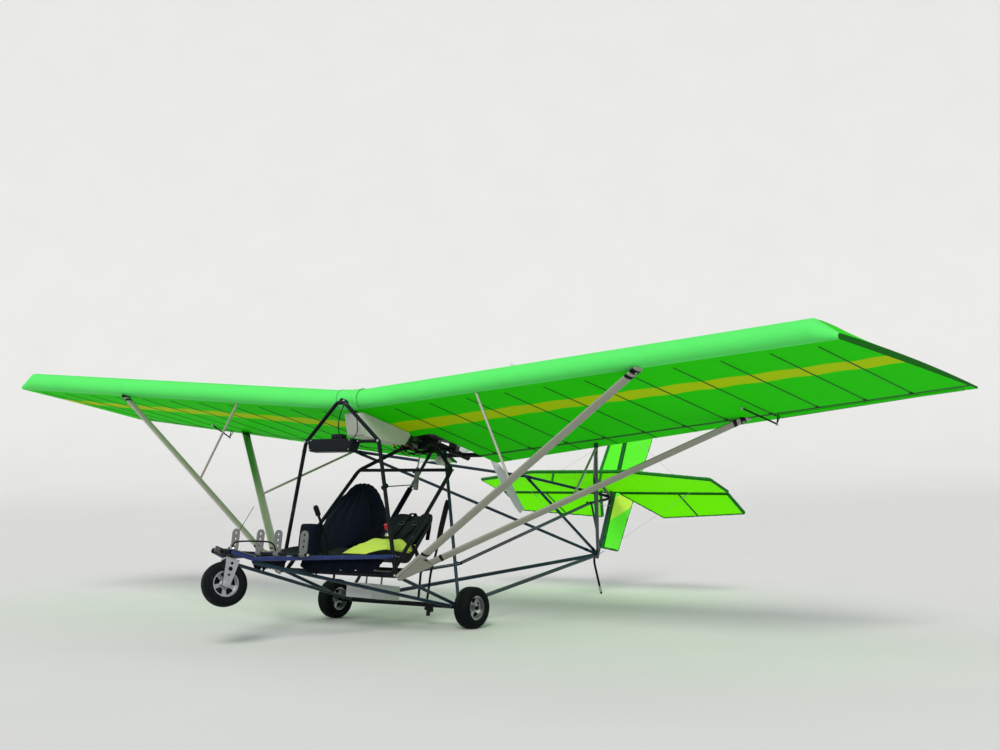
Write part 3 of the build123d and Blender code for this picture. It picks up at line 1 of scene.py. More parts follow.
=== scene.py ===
"""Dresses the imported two-seat ultralight aircraft: sailcloth, painted tube, alloy, rubber and fittings."""

import logging
import math
from dataclasses import dataclass
from enum import Enum

import bmesh
import bpy
from mathutils import Matrix, Vector

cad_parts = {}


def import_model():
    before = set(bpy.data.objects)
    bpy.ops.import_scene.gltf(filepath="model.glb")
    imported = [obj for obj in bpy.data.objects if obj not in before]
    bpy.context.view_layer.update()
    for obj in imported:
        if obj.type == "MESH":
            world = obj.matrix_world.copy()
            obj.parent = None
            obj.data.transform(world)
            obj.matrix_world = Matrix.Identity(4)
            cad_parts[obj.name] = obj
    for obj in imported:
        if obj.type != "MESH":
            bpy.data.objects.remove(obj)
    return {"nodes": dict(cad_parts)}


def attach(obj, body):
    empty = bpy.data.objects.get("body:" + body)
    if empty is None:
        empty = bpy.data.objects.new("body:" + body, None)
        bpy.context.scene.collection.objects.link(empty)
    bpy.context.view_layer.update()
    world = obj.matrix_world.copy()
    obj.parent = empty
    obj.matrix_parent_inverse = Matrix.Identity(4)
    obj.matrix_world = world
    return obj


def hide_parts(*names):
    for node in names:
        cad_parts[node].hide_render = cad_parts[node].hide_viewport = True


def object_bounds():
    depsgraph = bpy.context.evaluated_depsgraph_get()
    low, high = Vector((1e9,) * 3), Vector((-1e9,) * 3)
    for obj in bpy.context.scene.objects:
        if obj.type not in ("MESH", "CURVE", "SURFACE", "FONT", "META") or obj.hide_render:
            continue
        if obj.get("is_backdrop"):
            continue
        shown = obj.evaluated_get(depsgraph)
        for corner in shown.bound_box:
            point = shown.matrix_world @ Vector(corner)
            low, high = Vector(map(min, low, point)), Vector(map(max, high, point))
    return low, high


log = logging.getLogger("aircraft")
Colour = tuple[float, float, float]
Point = tuple[float, float, float]


class Side(Enum):
    """Which half of the aircraft a piece belongs to; the value is the sign of X."""

    PORT = 1
    STARBOARD = -1

    @property
    def word(self) -> str:
        """Name as used in the node names."""
        return self.name.lower()


@dataclass(frozen=True)
class ShipFrame:
    """The ship's level axes, in metres, with the origin at the middle of the main axle."""

    axle_y: float
    axle_z: float
    tip_back: float = math.radians(9.067)

    def at(self, x: float, y: float, z: float) -> Vector:
        """Row-frame place of a point given in the level frame.

        Args:
            x: metres to port.
            y: metres aft of the main axle.
            z: metres above the main axle.

        Returns:
            The point in the row frame.
        """
        c, s = math.cos(self.tip_back), math.sin(self.tip_back)
        return Vector((x, self.axle_y + y * c + z * s, self.axle_z - y * s + z * c))

    def turn(self, v: Vector) -> Vector:
        """Row-frame direction of a level-frame direction."""
        return self.at(*v) - self.at(0.0, 0.0, 0.0)


# Shared shader groups


class Shader:
    """Small helper that lays nodes out and joins them."""

    def __init__(self, tree: bpy.types.NodeTree) -> None:
        """Keeps the tree that the nodes go into."""
        self.tree = tree

    def node(self, kind: str, **values: object) -> bpy.types.Node:
        """Adds a node and sets its sockets and properties by name.

        Args:
            kind: Blender's node type.
            values: property values, or socket values where no property has the name.

        Returns:
            The new node.
        """
        made = self.tree.nodes.new(kind)
        for name, value in values.items():
            if hasattr(made, name):
                setattr(made, name, value)
            else:
                made.inputs[name.replace("_", " ")].default_value = value
        return made

    def link(self, a: bpy.types.NodeSocket, b: bpy.types.NodeSocket) -> None:
        """Joins two sockets."""
        self.tree.links.new(a, b)

    def math(self, operation: str, a: object, b: object = 0.0) -> bpy.types.NodeSocket:
        """One math node on two sockets or numbers, and its result."""
        made = self.tree.nodes.new("ShaderNodeMath")
        made.operation = operation
        for index, value in enumerate((a, b)):
            if isinstance(value, (int, float)):
                made.inputs[index].default_value = value
            else:
                self.link(value, made.inputs[index])
        return made.outputs[0]

    def mix(self, factor: object, a: object, b: object, blend: str = "MIX") -> bpy.types.NodeSocket:
        """Mixes two colours by a factor, and its result."""
        made = self.tree.nodes.new("ShaderNodeMix")
        made.data_type = "RGBA"
        made.blend_type = blend
        for index, value in ((0, factor), (6, a), (7, b)):
            if isinstance(value, bpy.types.NodeSocket):
                self.link(value, made.inputs[index])
            elif index == 0:
                made.inputs[index].default_value = value
            else:
                made.inputs[index].default_value = (*value, 1.0)
        return made.outputs[2]


def new_group(name: str, inputs: dict[str, float], outputs: tuple[str, ...]) -> tuple[bpy.types.NodeTree, Shader]:
    """An empty shader group with number sockets.

    Args:
        name: the group's name.
        inputs: default value of each input by name.
        outputs: names of the outputs.

    Returns:
        The group and a helper that fills it.
    """
    tree = bpy.data.node_groups.new(name, "ShaderNodeTree")
    for key, value in inputs.items():
        socket = tree.interface.new_socket(key, in_out="INPUT", socket_type="NodeSocketFloat")
        socket.default_value = value
    for key in outputs:
        tree.interface.new_socket(key, in_out="OUTPUT", socket_type="NodeSocketFloat")
    return tree, Shader(tree)


def cloth_group() -> bpy.types.NodeTree:
    """Sailcloth: a ripstop grid, slow folds, and blotches of wear."""
    tree, kit = new_group("Sailcloth", {"Grid": 90.0, "Folds": 2.4, "Blotches": 5.0}, ("Tone", "Height"))
    entry, out = kit.node("NodeGroupInput"), kit.node("NodeGroupOutput")
    place = kit.node("ShaderNodeTexCoord").outputs["Object"]
    heights = []
    for axis in ("X", "Y"):
        wave = kit.node("ShaderNodeTexWave", wave_type="BANDS", bands_direction=axis)
        kit.link(place, wave.inputs["Vector"])
        kit.link(entry.outputs["Grid"], wave.inputs["Scale"])
        heights.append(kit.math("POWER", wave.outputs["Fac"], 8.0))
    grid = kit.math("MAXIMUM", heights[0], heights[1])
    folds = kit.node("ShaderNodeTexNoise", Detail=3.0)
    kit.link(place, folds.inputs["Vector"])
    kit.link(entry.outputs["Folds"], folds.inputs["Scale"])
    blotch = kit.node("ShaderNodeTexNoise", Detail=6.0)
    kit.link(place, blotch.inputs["Vector"])
    kit.link(entry.outputs["Blotches"], blotch.inputs["Scale"])
    height = kit.math("ADD", kit.math("MULTIPLY", grid, 0.06), folds.outputs["Fac"])
    tone = kit.math("ADD", kit.math("MULTIPLY", blotch.outputs["Fac"], 0.3), 0.85)
    kit.link(tone, out.inputs["Tone"])
    kit.link(height, out.inputs["Height"])
    return tree


def wear_group() -> bpy.types.NodeTree:
    """Wear for hard surfaces: sparse chips, settled dust, smudges and a fine grain."""
    tree, kit = new_group(
        "Wear", {"Scuffs": 14.0, "Grain": 240.0, "Dust": 0.35}, ("Edge", "Dusty", "Height", "Smudge")
    )
    entry, out = kit.node("NodeGroupInput"), kit.node("NodeGroupOutput")
    place = kit.node("ShaderNodeTexCoord").outputs["Object"]
    shape = kit.node("ShaderNodeNewGeometry")
    scuff = kit.node("ShaderNodeTexNoise", Detail=8.0)
    kit.link(place, scuff.inputs["Vector"])
    kit.link(entry.outputs["Scuffs"], scuff.inputs["Scale"])
    edge = kit.math("MULTIPLY", kit.math("SUBTRACT", scuff.outputs["Fac"], 0.63), 14.0)
    clamp = kit.node("ShaderNodeClamp")
    kit.link(edge, clamp.inputs["Value"])
    up = kit.node("ShaderNodeSeparateXYZ")
    kit.link(shape.outputs["Normal"], up.inputs[0])
    top = kit.math("MAXIMUM", up.outputs["Z"], 0.0)
    settled = kit.math("MULTIPLY", kit.math("MULTIPLY", top, scuff.outputs["Fac"]), entry.outputs["Dust"])
    grain = kit.node("ShaderNodeTexNoise", Detail=2.0)
    kit.link(place, grain.inputs["Vector"])
    kit.link(entry.outputs["Grain"], grain.inputs["Scale"])
    smudge = kit.node("ShaderNodeTexNoise", Scale=7.0, Detail=4.0)
    kit.link(place, smudge.inputs["Vector"])
    kit.link(clamp.outputs[0], out.inputs["Edge"])
    kit.link(settled, out.inputs["Dusty"])
    kit.link(grain.outputs["Fac"], out.inputs["Height"])
    kit.link(smudge.outputs["Fac"], out.inputs["Smudge"])
    return tree


@dataclass(frozen=True)
class ClothFinish:
    """Dyed sailcloth or padded cloth; a glow above zero is painted glow, light given off in the cloth's own colour for
    daylight shining through it.
    """

    name: str
    colour: Colour
    roughness: float = 0.55
    sheen: float = 0.0
    gloss: float = 0.12
    grid: float = 90.0
    folds: float = 2.4
    bump: float = 0.25
    glow: float = 0.0

    def build(self, groups: dict[str, bpy.types.NodeTree]) -> bpy.types.Material:
        """The material, with its colour and bump worked out by the sailcloth group."""
        made = bpy.data.materials.new(self.name)
        made.use_nodes = True
        made.diffuse_color = (*self.colour, 1.0)
        kit = Shader(made.node_tree)
        shader = made.node_tree.nodes["Principled BSDF"]
        cloth = kit.node("ShaderNodeGroup", node_tree=groups["cloth"])
        cloth.inputs["Grid"].default_value = self.grid
        cloth.inputs["Folds"].default_value = self.folds
        dark = tuple(c * 0.55 for c in self.colour)
        light = tuple(min(1.0, c * 1.08) for c in self.colour)
        kit.link(kit.mix(cloth.outputs["Tone"], dark, light), shader.inputs["Base Color"])
        bump = kit.node("ShaderNodeBump", Strength=self.bump, Distance=0.02)
        kit.link(cloth.outputs["Height"], bump.inputs["Height"])
        kit.link(bump.outputs[0], shader.inputs["Normal"])
        shader.inputs["Roughness"].default_value = self.roughness
        shader.inputs["Sheen Weight"].default_value = self.sheen
        shader.inputs["Specular IOR Level"].default_value = self.gloss
        # Painted glow: the cloth gives off light in its own colour, standing in for daylight shining through the thin
        # sailcloth.
        if self.glow:
            shader.inputs["Emission Color"].default_value = (*self.colour, 1.0)
            shader.inputs["Emission Strength"].default_value = self.glow
        return made


@dataclass(frozen=True)
class HardFinish:
    """Paint, metal, rubber or moulded plastic with worn edges and dust."""

    name: str
    colour: Colour
    metallic: float = 0.0
    roughness: float = 0.4
    under: Colour = (0.35, 0.35, 0.36)
    wear: float = 0.6
    dust: float = 0.25
    grain: float = 240.0
    bump: float = 0.08
    coat: float = 0.0
    gloss: float = 0.5

    def build(self, groups: dict[str, bpy.types.NodeTree]) -> bpy.types.Material:
        """The material, with wear, dust and grain worked out by the wear group."""
        made = bpy.data.materials.new(self.name)
        made.use_nodes = True
        made.diffuse_color = (*self.colour, 1.0)
        kit = Shader(made.node_tree)
        shader = made.node_tree.nodes["Principled BSDF"]
        wear = kit.node("ShaderNodeGroup", node_tree=groups["wear"])
        wear.inputs["Grain"].default_value = self.grain
        wear.inputs["Dust"].default_value = self.dust
        smudged = kit.mix(wear.outputs["Smudge"], tuple(c * 0.8 for c in self.colour), self.colour)
        scuffed = kit.mix(kit.math("MULTIPLY", wear.outputs["Edge"], self.wear), smudged, self.under)
        kit.link(kit.mix(wear.outputs["Dusty"], scuffed, (0.36, 0.33, 0.28)), shader.inputs["Base Color"])
        rough = kit.math("ADD", kit.math("MULTIPLY", wear.outputs["Smudge"], 0.2), self.roughness - 0.1)
        kit.link(kit.math("ADD", rough, wear.outputs["Dusty"]), shader.inputs["Roughness"])
        bump = kit.node("ShaderNodeBump", Strength=self.bump, Distance=0.002)
        kit.link(wear.outputs["Height"], bump.inputs["Height"])
        kit.link(bump.outputs[0], shader.inputs["Normal"])
        shader.inputs["Metallic"].default_value = self.metallic
        shader.inputs["Coat Weight"].default_value = self.coat
        shader.inputs["Specular IOR Level"].default_value = self.gloss
        return made


# Every glow value below is painted glow, standing in for light that shines through the sailcloth.
CLOTHS = (
    ClothFinish("wing_green", (0.014, 0.50, 0.001), glow=0.20, gloss=0.01),
    # Painted light: a paler copy of the wing's green for the leading-edge roll, paler only because the light falls on
    # it there.
    ClothFinish("wing_light", (0.090, 0.70, 0.125), glow=0.03, gloss=0.08),
    ClothFinish("wing_stripe", (0.34, 0.50, 0.001), glow=0.18, gloss=0.01),
    # Dark green for the seams and cut ends, and painted shadow: the dark lines of the battens and the rear spar seen
    # through the cloth.
    ClothFinish("seam_and_painted_shadow_green", (0.003, 0.11, 0.003), roughness=0.6, folds=9.0),
    ClothFinish("tail_lime", (0.17, 0.92, 0.002), glow=0.28, gloss=0.01),
    ClothFinish("tail_patch", (0.52, 0.86, 0.07), glow=0.12, gloss=0.05),
    ClothFinish("fin_green", (0.110, 0.80, 0.030), glow=0.20, gloss=0.05),
    # Painted shade: sleeves and rib tapes are dark green, standing for the tube inside that shows dark through the lime
    # cloth.
    ClothFinish("sleeve_painted_shade_green", (0.006, 0.15, 0.010), roughness=0.45, folds=9.0),
    ClothFinish("cushion_lime", (0.50, 0.68, 0.08), roughness=0.8, sheen=0.1, grid=320.0, folds=12.0, bump=0.5),
    ClothFinish("seat_black", (0.006, 0.011, 0.011), roughness=0.75, sheen=0.03, gloss=0.12, grid=320.0, folds=12.0, bump=0.5),
    ClothFinish("cover_black", (0.0015, 0.0035, 0.009), roughness=0.9, sheen=0.012, gloss=0.08, grid=420.0, folds=9.0, bump=0.6),
    ClothFinish("webbing", (0.008, 0.008, 0.010), roughness=0.8, grid=600.0, folds=20.0),
)
HARDS = (
    HardFinish("frame_black", (0.002, 0.004, 0.007), roughness=0.45, gloss=0.12, wear=0.08, dust=0.03),
    HardFinish("frame_teal", (0.006, 0.024, 0.046), roughness=0.40, gloss=0.30, wear=0.08, dust=0.04),
    HardFinish("frame_blue", (0.010, 0.024, 0.13), roughness=0.36, gloss=0.35, coat=0.15, wear=0.10, dust=0.05),
    HardFinish("strut_alloy", (0.37, 0.355, 0.31), metallic=0.4, roughness=0.42, wear=0.1, grain=500.0, dust=0.1),
    HardFinish("cast_alloy", (0.56, 0.57, 0.58), metallic=0.9, roughness=0.34, wear=0.1, dust=0.1),
    HardFinish("plate_alloy", (0.17, 0.18, 0.165), metallic=0.6, roughness=0.45, wear=0.1, grain=420.0, dust=0.1),
    HardFinish("engine_alloy", (0.10, 0.105, 0.11), metallic=0.7, roughness=0.5, grain=320.0, bump=0.25),
    HardFinish("silencer_steel", (0.26, 0.21, 0.16), metallic=0.9, roughness=0.42, dust=0.3),
    HardFinish("blade_white", (0.70, 0.72, 0.74), roughness=0.28, wear=0.1, coat=0.4, dust=0.05),
    HardFinish("tyre_rubber", (0.0015, 0.0035, 0.0045), roughness=0.75, under=(0.015, 0.018, 0.02), dust=0.03, bump=0.3, gloss=0.12),
    HardFinish("shell_black", (0.0015, 0.004, 0.006), roughness=0.45, under=(0.02, 0.02, 0.02), dust=0.02, bump=0.3, gloss=0.12),
    HardFinish("tank_white", (0.56, 0.60, 0.52), roughness=0.42, wear=0.05, dust=0.1),
    HardFinish("tray_white", (0.58, 0.61, 0.60), roughness=0.4, wear=0.1, dust=0.3),
    HardFinish("bolt_steel", (0.50, 0.50, 0.51), metallic=1.0, roughness=0.3, dust=0.05),
    HardFinish("brass", (0.62, 0.32, 0.08), metallic=1.0, roughness=0.3),
    HardFinish("red_plastic", (0.50, 0.008, 0.010), roughness=0.35),
    HardFinish("dial_face", (0.01, 0.01, 0.012), roughness=0.2, coat=1.0, wear=0.0, dust=0.0),
    HardFinish("dial_mark", (0.8, 0.8, 0.78), roughness=0.4, wear=0.0, dust=0.0),
)


class Workshop:
    """Makes pieces: it holds the materials, the ship's frame and the mesh tools."""

    def __init__(self, ship: ShipFrame) -> None:
        """Builds every finish once."""
        self.ship = ship
        groups = {"cloth": cloth_group(), "wear": wear_group()}
        self.materials = {finish.name: finish.build(groups) for finish in (*CLOTHS, *HARDS)}

    def dress(self, nodes: dict[str, bpy.types.Object], finish: str, *names: str) -> None:
        """Gives CAD nodes a finish."""
        for name in names:
            for slot in nodes[name].material_slots:
                slot.material = self.materials[finish]

    def piece(
        self,
        name: str,
        mesh: bmesh.types.BMesh,
        finishes: tuple[str, ...],
        body: str = "airframe",
        replaces: tuple[str, ...] = (),
        smooth: float | None = 35.0,
    ) -> bpy.types.Object:
        """Turns a mesh into a piece that rides on a body.

        Args:
            name: the piece's name.
            mesh: geometry in the row frame, freed here.
            finishes: finish of each material index.
            body: the CAD body it moves with.
            replaces: CAD nodes that it stands for.
            smooth: angle in degrees up to which edges are shaded smooth, or None for flat.

        Returns:
            The new object.
        """
        bmesh.ops.recalc_face_normals(mesh, faces=mesh.faces)
        data = bpy.data.meshes.new(name)
        mesh.to_mesh(data)
        mesh.free()
        made = bpy.data.objects.new(name, data)
        bpy.context.scene.collection.objects.link(made)
        for finish in finishes:
            data.materials.append(self.materials[finish])
        if smooth is not None:
            data.shade_smooth()
            data.set_sharp_from_angle(angle=math.radians(smooth))
        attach(made, body)
        if replaces:
            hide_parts(*replaces)
        log.info("%s: %d faces on %s", name, len(data.polygons), body)
        return made


def add_tube(mesh: bmesh.types.BMesh, points: list[Vector], radius: float, sides: int = 12, index: int = 0) -> None:
    """A closed round tube along points, mitred at its bends.

    Args:
        mesh: the mesh it is added to.
        points: centre line.
        radius: tube radius in metres.
        sides: facets round it.
        index: material index.
    """
    rings = []
    count = len(points)
    start = (points[1] - points[0]).normalized()
    spare = Vector((0, 0, 1)) if abs(start.z) < 0.9 else Vector((1, 0, 0))
    across = start.cross(spare).normalized()
    for place, point in enumerate(points):
        back = (point - points[max(place - 1, 0)]).normalized() if place else start
        ahead = (points[min(place + 1, count - 1)] - point).normalized() if place < count - 1 else back
        along = (back + ahead).normalized()
        across = (across - along * across.dot(along)).normalized()
        other = along.cross(across)
        stretch = 1.0 / max(0.5, along.dot(ahead))
        ring = []
        for side in range(sides):
            a = 2 * math.pi * side / sides
            ring.append(mesh.verts.new(point + (across * math.cos(a) + other * math.sin(a)) * radius * stretch))
        rings.append(ring)
    for one, two in zip(rings, rings[1:]):
        for side in range(sides):
            face = mesh.faces.new((one[side], one[(side + 1) % sides], two[(side + 1) % sides], two[side]))
            face.material_index = index
    for ring in (rings[0], rings[-1]):
        mesh.faces.new(ring).material_index = index


def add_box(mesh: bmesh.types.BMesh, centre: Vector, size: Point, turn: Matrix | None = None, index: int = 0) -> None:
    """A block with softened edges.

    Args:
        mesh: the mesh it is added to.
        centre: middle of the block.
        size: full lengths along its own axes.
        turn: rotation of its axes.
        index: material index.
    """
    made = bmesh.ops.create_cube(mesh, size=1.0)["verts"]
    place = Matrix.Translation(centre) @ (turn.to_4x4() if turn else Matrix.Identity(4))
    bmesh.ops.transform(mesh, matrix=place @ Matrix.Diagonal((*size, 1.0)), verts=made)
    edges = list({e for v in made for e in v.link_edges})
    soft = bmesh.ops.bevel(mesh, geom=edges, offset=min(size) * 0.18, segments=2, affect="EDGES", profile=0.6)
    for face in {f for v in made if v.is_valid for f in v.link_faces} | set(soft["faces"]):
        face.material_index = index


def add_disc(mesh: bmesh.types.BMesh, start: Vector, end: Vector, radius: float, sides: int = 24, index: int = 0) -> None:
    """A short cylinder between two points with a small chamfer at both ends."""
    along = end - start
    lip = min(radius * 0.15, along.length * 0.25)
    step = along.normalized() * lip
    stations = [(start, radius - lip), (start + step, radius), (end - step, radius), (end, radius - lip)]
    spare = Vector((0, 0, 1)) if abs(along.normalized().z) < 0.9 else Vector((1, 0, 0))
    across = along.cross(spare).normalized()
    other = along.normalized().cross(across)
    rings = []
    for point, size in stations:
        rings.append([
            mesh.verts.new(point + (across * math.cos(a) + other * math.sin(a)) * size)
            for a in (2 * math.pi * k / sides for k in range(sides))
        ])
    for one, two in zip(rings, rings[1:]):
        for k in range(sides):
            face = mesh.faces.new((one[k], one[(k + 1) % sides], two[(k + 1) % sides], two[k]))
            face.material_index = index
    for ring in (rings[0], rings[-1]):
        mesh.faces.new(ring).material_index = index


def add_bolt(mesh: bmesh.types.BMesh, place: Vector, along: Vector, radius: float = 0.008, index: int = 0) -> None:
    """A washer and a six-sided head standing out along a direction."""
    way = along.normalized()
    add_disc(mesh, place - way * 0.001, place + way * 0.0015, radius * 1.45, 16, index)
    add_disc(mesh, place + way * 0.0012, place + way * radius * 0.9, radius, 6, index)


def ribbon(mesh: bmesh.types.BMesh, points: list[Vector], across: Vector, width: float, rise: list[Vector], index: int) -> None:
    """A thin raised strip with sloping sides along points.

    Args:
        mesh: the mesh it is added to.
        points: centre line on the surface.
        across: direction of its width.
        width: full width in metres.
        rise: how far the middle stands off at each point.
        index: material index.
    """
    side = across.normalized() * (width / 2)
    rows = [
        [mesh.verts.new(p - side), mesh.verts.new(p - side * 0.6 + r), mesh.verts.new(p + side * 0.6 + r), mesh.verts.new(p + side)]
        for p, r in zip(points, rise)
    ]
    for one, two in zip(rows, rows[1:]):
        for k in range(3):
            mesh.faces.new((one[k], one[k + 1], two[k + 1], two[k])).material_index = index
        mesh.faces.new((one[3], one[0], two[0], two[3])).material_index = index
    for row in (rows[0], rows[-1]):
        mesh.faces.new(row).material_index = index


# The wing


@dataclass(frozen=True)
class WingSizes:
    """Sizes of the sailcloth wing in millimetres, in the ship's level frame."""

    root_x: float = 25.3
    rib_x: float = 4230.0
    tip_front_x: float = 4420.0
    tip_rear_x: float = 4640.0
    roll: float = 82.0
    tip_roll: float = 20.0
    crown: float = 182.0
    tip_crown: float = 52.0
    crown_share: float = 0.33
    trailing_root: float = 215.0
    trailing_tip: float = 92.0
    trailing_edge: float = 14.0
    bay_x: float = 230.0
    bay_y: float = -60.0
    aileron_inner: float = 3090.0
    aileron_outer: float = 4560.0
    aileron_back: float = 35.0
    aileron_rise: float = 20.0
    aileron_tube: float = 26.0
    aileron_gap: float = 25.0
    batten_pitch: float = 384.0
    sag: float = 7.0
    sail_cut: tuple[float, float] = (1.80, 4.70)
    sail_area: float = 7.9
    aileron_cut: tuple[float, float] = (0.13, 1.476)


def front_spar(x: float) -> Vector:
    """Underside of the leading edge tube at a distance from the middle."""
    return Vector((x, -801.0 - 166.0 * x / 4230.0, 1500.0 + 290.0 * x / 4230.0))


def rear_spar(x: float) -> Vector:
    """Underside of the rear spar at a distance from the middle."""
    return Vector((x, 613.0 - 29.0 * x / 4230.0, 1300.0 + 432.0 * x / 4230.0))


class WingSection:
    """One rib section of the wing."""

    def __init__(self, sizes: WingSizes, x_front: float, x_rear: float, tip: bool, trailing: float) -> None:
        """Works out the section's axes and its crown arc."""
        self.front = front_spar(x_front)
        reach = rear_spar(x_rear) - self.front
        self.along = reach.normalized()
        self.up = (Vector((0, 0, 1)) - self.along * self.along.z).normalized()
        self.chord = reach.length + trailing
        self.roll = sizes.tip_roll if tip else sizes.roll
        crown = sizes.tip_crown if tip else sizes.crown
        one = (0.0, 2 * self.roll)
        two = (sizes.crown_share * self.chord, crown)
        three = (self.chord, sizes.trailing_edge)
        self.arc = self.circle(one, two, three)

    @staticmethod
    def circle(one: tuple, two: tuple, three: tuple) -> tuple[float, float, float]:
        """Centre and radius of the circle through three points."""
        (ax, ay), (bx, by), (cx, cy) = one, two, three
        d = 2 * (ax * (by - cy) + bx * (cy - ay) + cx * (ay - by))
        a, b, c = ax * ax + ay * ay, bx * bx + by * by, cx * cx + cy * cy
        x = (a * (by - cy) + b * (cy - ay) + c * (ay - by)) / d
        y = (a * (cx - bx) + b * (ax - cx) + c * (bx - ax)) / d
        return x, y, math.hypot(ax - x, ay - y)

    def under(self, share: float) -> Vector:
        """Point on the flat underside at a share of the chord."""
        return self.front + self.along * (self.chord * share)

    def over(self, share: float) -> Vector:
        """Point on the crowned top at a share of the chord."""
        reach = self.chord * share
        x, y, radius = self.arc
        height = y + math.sqrt(max(0.0, radius * radius - (reach - x) ** 2))
        return self.front + self.along * reach + self.up * height

    def nose(self, turn: float) -> Vector:
        """Point round the leading edge, from 0 at the underside to 1 on top."""
        a = math.pi * turn
        centre = self.front + self.up * self.roll
        return centre - self.along * (self.roll * math.sin(a)) - self.up * (self.roll * math.cos(a))


class SailWing:
    """One wing panel of sailcloth with its aileron, battens, seams and hinges."""

    UNDER = (0.0, 0.012, 0.045, 0.05, 0.1, 0.15, 0.2, "f", "m", "r", 0.5, 0.56, 0.62, 0.68, 0.74, 0.8, 0.835)
    OVER = tuple(k / 22 for k in range(23))
    TURNS = tuple(k / 12 for k in range(13))

    def __init__(self, shop: Workshop, side: Side, sizes: WingSizes) -> None:
        """Sets the three sections that the panel is stretched over."""
        self.shop, self.side, self.sizes = shop, side, sizes
        s = sizes
        self.root = WingSection(s, s.root_x, s.root_x, False, s.trailing_root)
        self.rib = WingSection(s, s.rib_x, s.rib_x, False, s.trailing_tip)
        self.tip = WingSection(s, s.tip_front_x, s.tip_rear_x, True, s.trailing_tip)
        start, end = rear_spar(s.aileron_inner), rear_spar(s.aileron_outer)
        lift = Vector((0.0, s.aileron_back, s.aileron_rise))
        self.hinge = (start + lift, end + lift)
        self.hinge_way = (self.hinge[1] - self.hinge[0]).normalized()
        self.aft = Vector((0, 0, 1)).cross(self.hinge_way).normalized()

    def place(self, p: Vector) -> Vector:
        """Row-frame place of a port-side point in millimetres."""
        return self.shop.ship.at(self.side.value * p.x / 1000, p.y / 1000, p.z / 1000)

    def sections(self, station: float) -> tuple[WingSection, WingSection, float]:
        """The two sections around a station, and the share between them; the tip is from 1 to 2."""
        if station <= 1.0:
            return self.root, self.rib, station
        return self.rib, self.tip, station - 1.0

    def station(self, x: float) -> float:
        """Station of a distance out, up to the tip rib."""
        return (x - self.sizes.root_x) / (self.sizes.rib_x - self.sizes.root_x)

    def point(self, kind: str, station: float, value: float) -> Vector:
        """A point on the stretched cloth, between its two sections."""
        one, two, share = self.sections(station)
        return getattr(one, kind)(value).lerp(getattr(two, kind)(value), share)

    def sag_at(self, station: float) -> float:
        """How much the cloth gives between battens, from 0 to 1."""
        x = self.point("under", station, 0.5).x
        return math.sin(math.pi * (x - self.sizes.root_x) / self.sizes.batten_pitch) ** 2

    def stripe(self, station: float) -> tuple[float, float]:
        """Shares of the chord between which the stripe runs."""
        out = min(1.0, station / 1.05)
        bend = max(0.0, (out - 0.38) / 0.62)
        return 0.24 + 0.02 * min(1.0, out / 0.38) + 0.06 * bend, 0.38 + 0.07 * bend

    def under_shares(self, station: float) -> list[float]:
        """Shares of the underside's points, from the leading edge back."""
        front, rear = self.stripe(station)
        one, two, share = self.sections(station)
        reach = [(rear_spar(4230.0 if s is self.rib else 25.3) - s.front).length / s.chord for s in (one, two)]
        band = min(0.945, reach[0] + (reach[1] - reach[0]) * share if station <= 1 else 0.94)
        named = {"f": front, "m": (front + rear) / 2, "r": rear}
        last = band + 0.003
        shares = [named.get(v, v) for v in self.UNDER]
        return [*shares, band - 0.022, last, last + (1 - last) / 3, last + (1 - last) * 2 / 3, 1.0]

    def loop(self, station: float, limit: float) -> tuple[list[Vector], list[int]]:
        """One closed outline of cloth points with the material of each strip after it.

        Args:
            station: how far out.
            limit: share of the chord where the cloth ends.

        Returns:
            Points in the level frame and material indices.
        """
        sag = self.sag_at(station)
        points, looks = [], []
        shares = self.under_shares(station)
        front, rear = self.stripe(station)
        lift = self.root.up
        for place, share in enumerate(shares):
            cut = min(share, limit)
            give = self.sizes.sag * sag * math.sin(math.pi * min(1.0, cut / 0.9)) if cut < 0.9 else 0.0
            points.append(self.point("under", station, cut) + lift * give)
            middle = (share + shares[min(place + 1, len(shares) - 1)]) / 2
            look = 0
            if front < middle < rear:
                look = 1
            # The narrow strip at the rear spar takes the dark green: a painted shadow of the spar seen through the
            # cloth.
            elif shares[-5] < middle < shares[-4]:
                look = 2
            looks.append(look)
        for share in reversed(self.OVER):
            cut = min(share, limit)
            give = 0.6 * self.sizes.sag * sag * math.sin(math.pi * cut) if 0.05 < cut < 1 else 0.0
            points.append(self.point("over", station, cut) - lift * give)
            looks.append(0)
        # The last top point and the nose round the leading edge take material 3, the paler copy of the green that
        # paints the light on the roll.
        looks[-1] = 3
        out = points[0].x
        for turn in reversed(self.TURNS[1:-1]):
            dent = 2.0 * math.sin(out * 0.021 + turn * 3.0) * math.sin(out * 0.0083) * math.sin(math.pi * turn)
            points.append(self.point("nose", station, turn) + self.root.along * dent)
            looks.append(3)
        return points, looks

    def limit(self, station: float, ahead: float, over: bool = False) -> float:
        """Share of the chord at a distance ahead of the aileron's axis."""
        low = self.point("under", station, 0.0)
        high = self.point("under", station, 1.0)
        d0 = (low - self.hinge[0]).dot(self.aft)
        d1 = (high - self.hinge[0]).dot(self.aft)
        return (-ahead - d0) / (d1 - d0)

    def bay_limit(self, station: float) -> float:
        """Share of the chord where the engine's bay cuts the cloth."""
        low = self.point("under", station, 0.0)
        high = self.point("under", station, 1.0)
        return (self.sizes.bay_y - low.y) / (high.y - low.y)

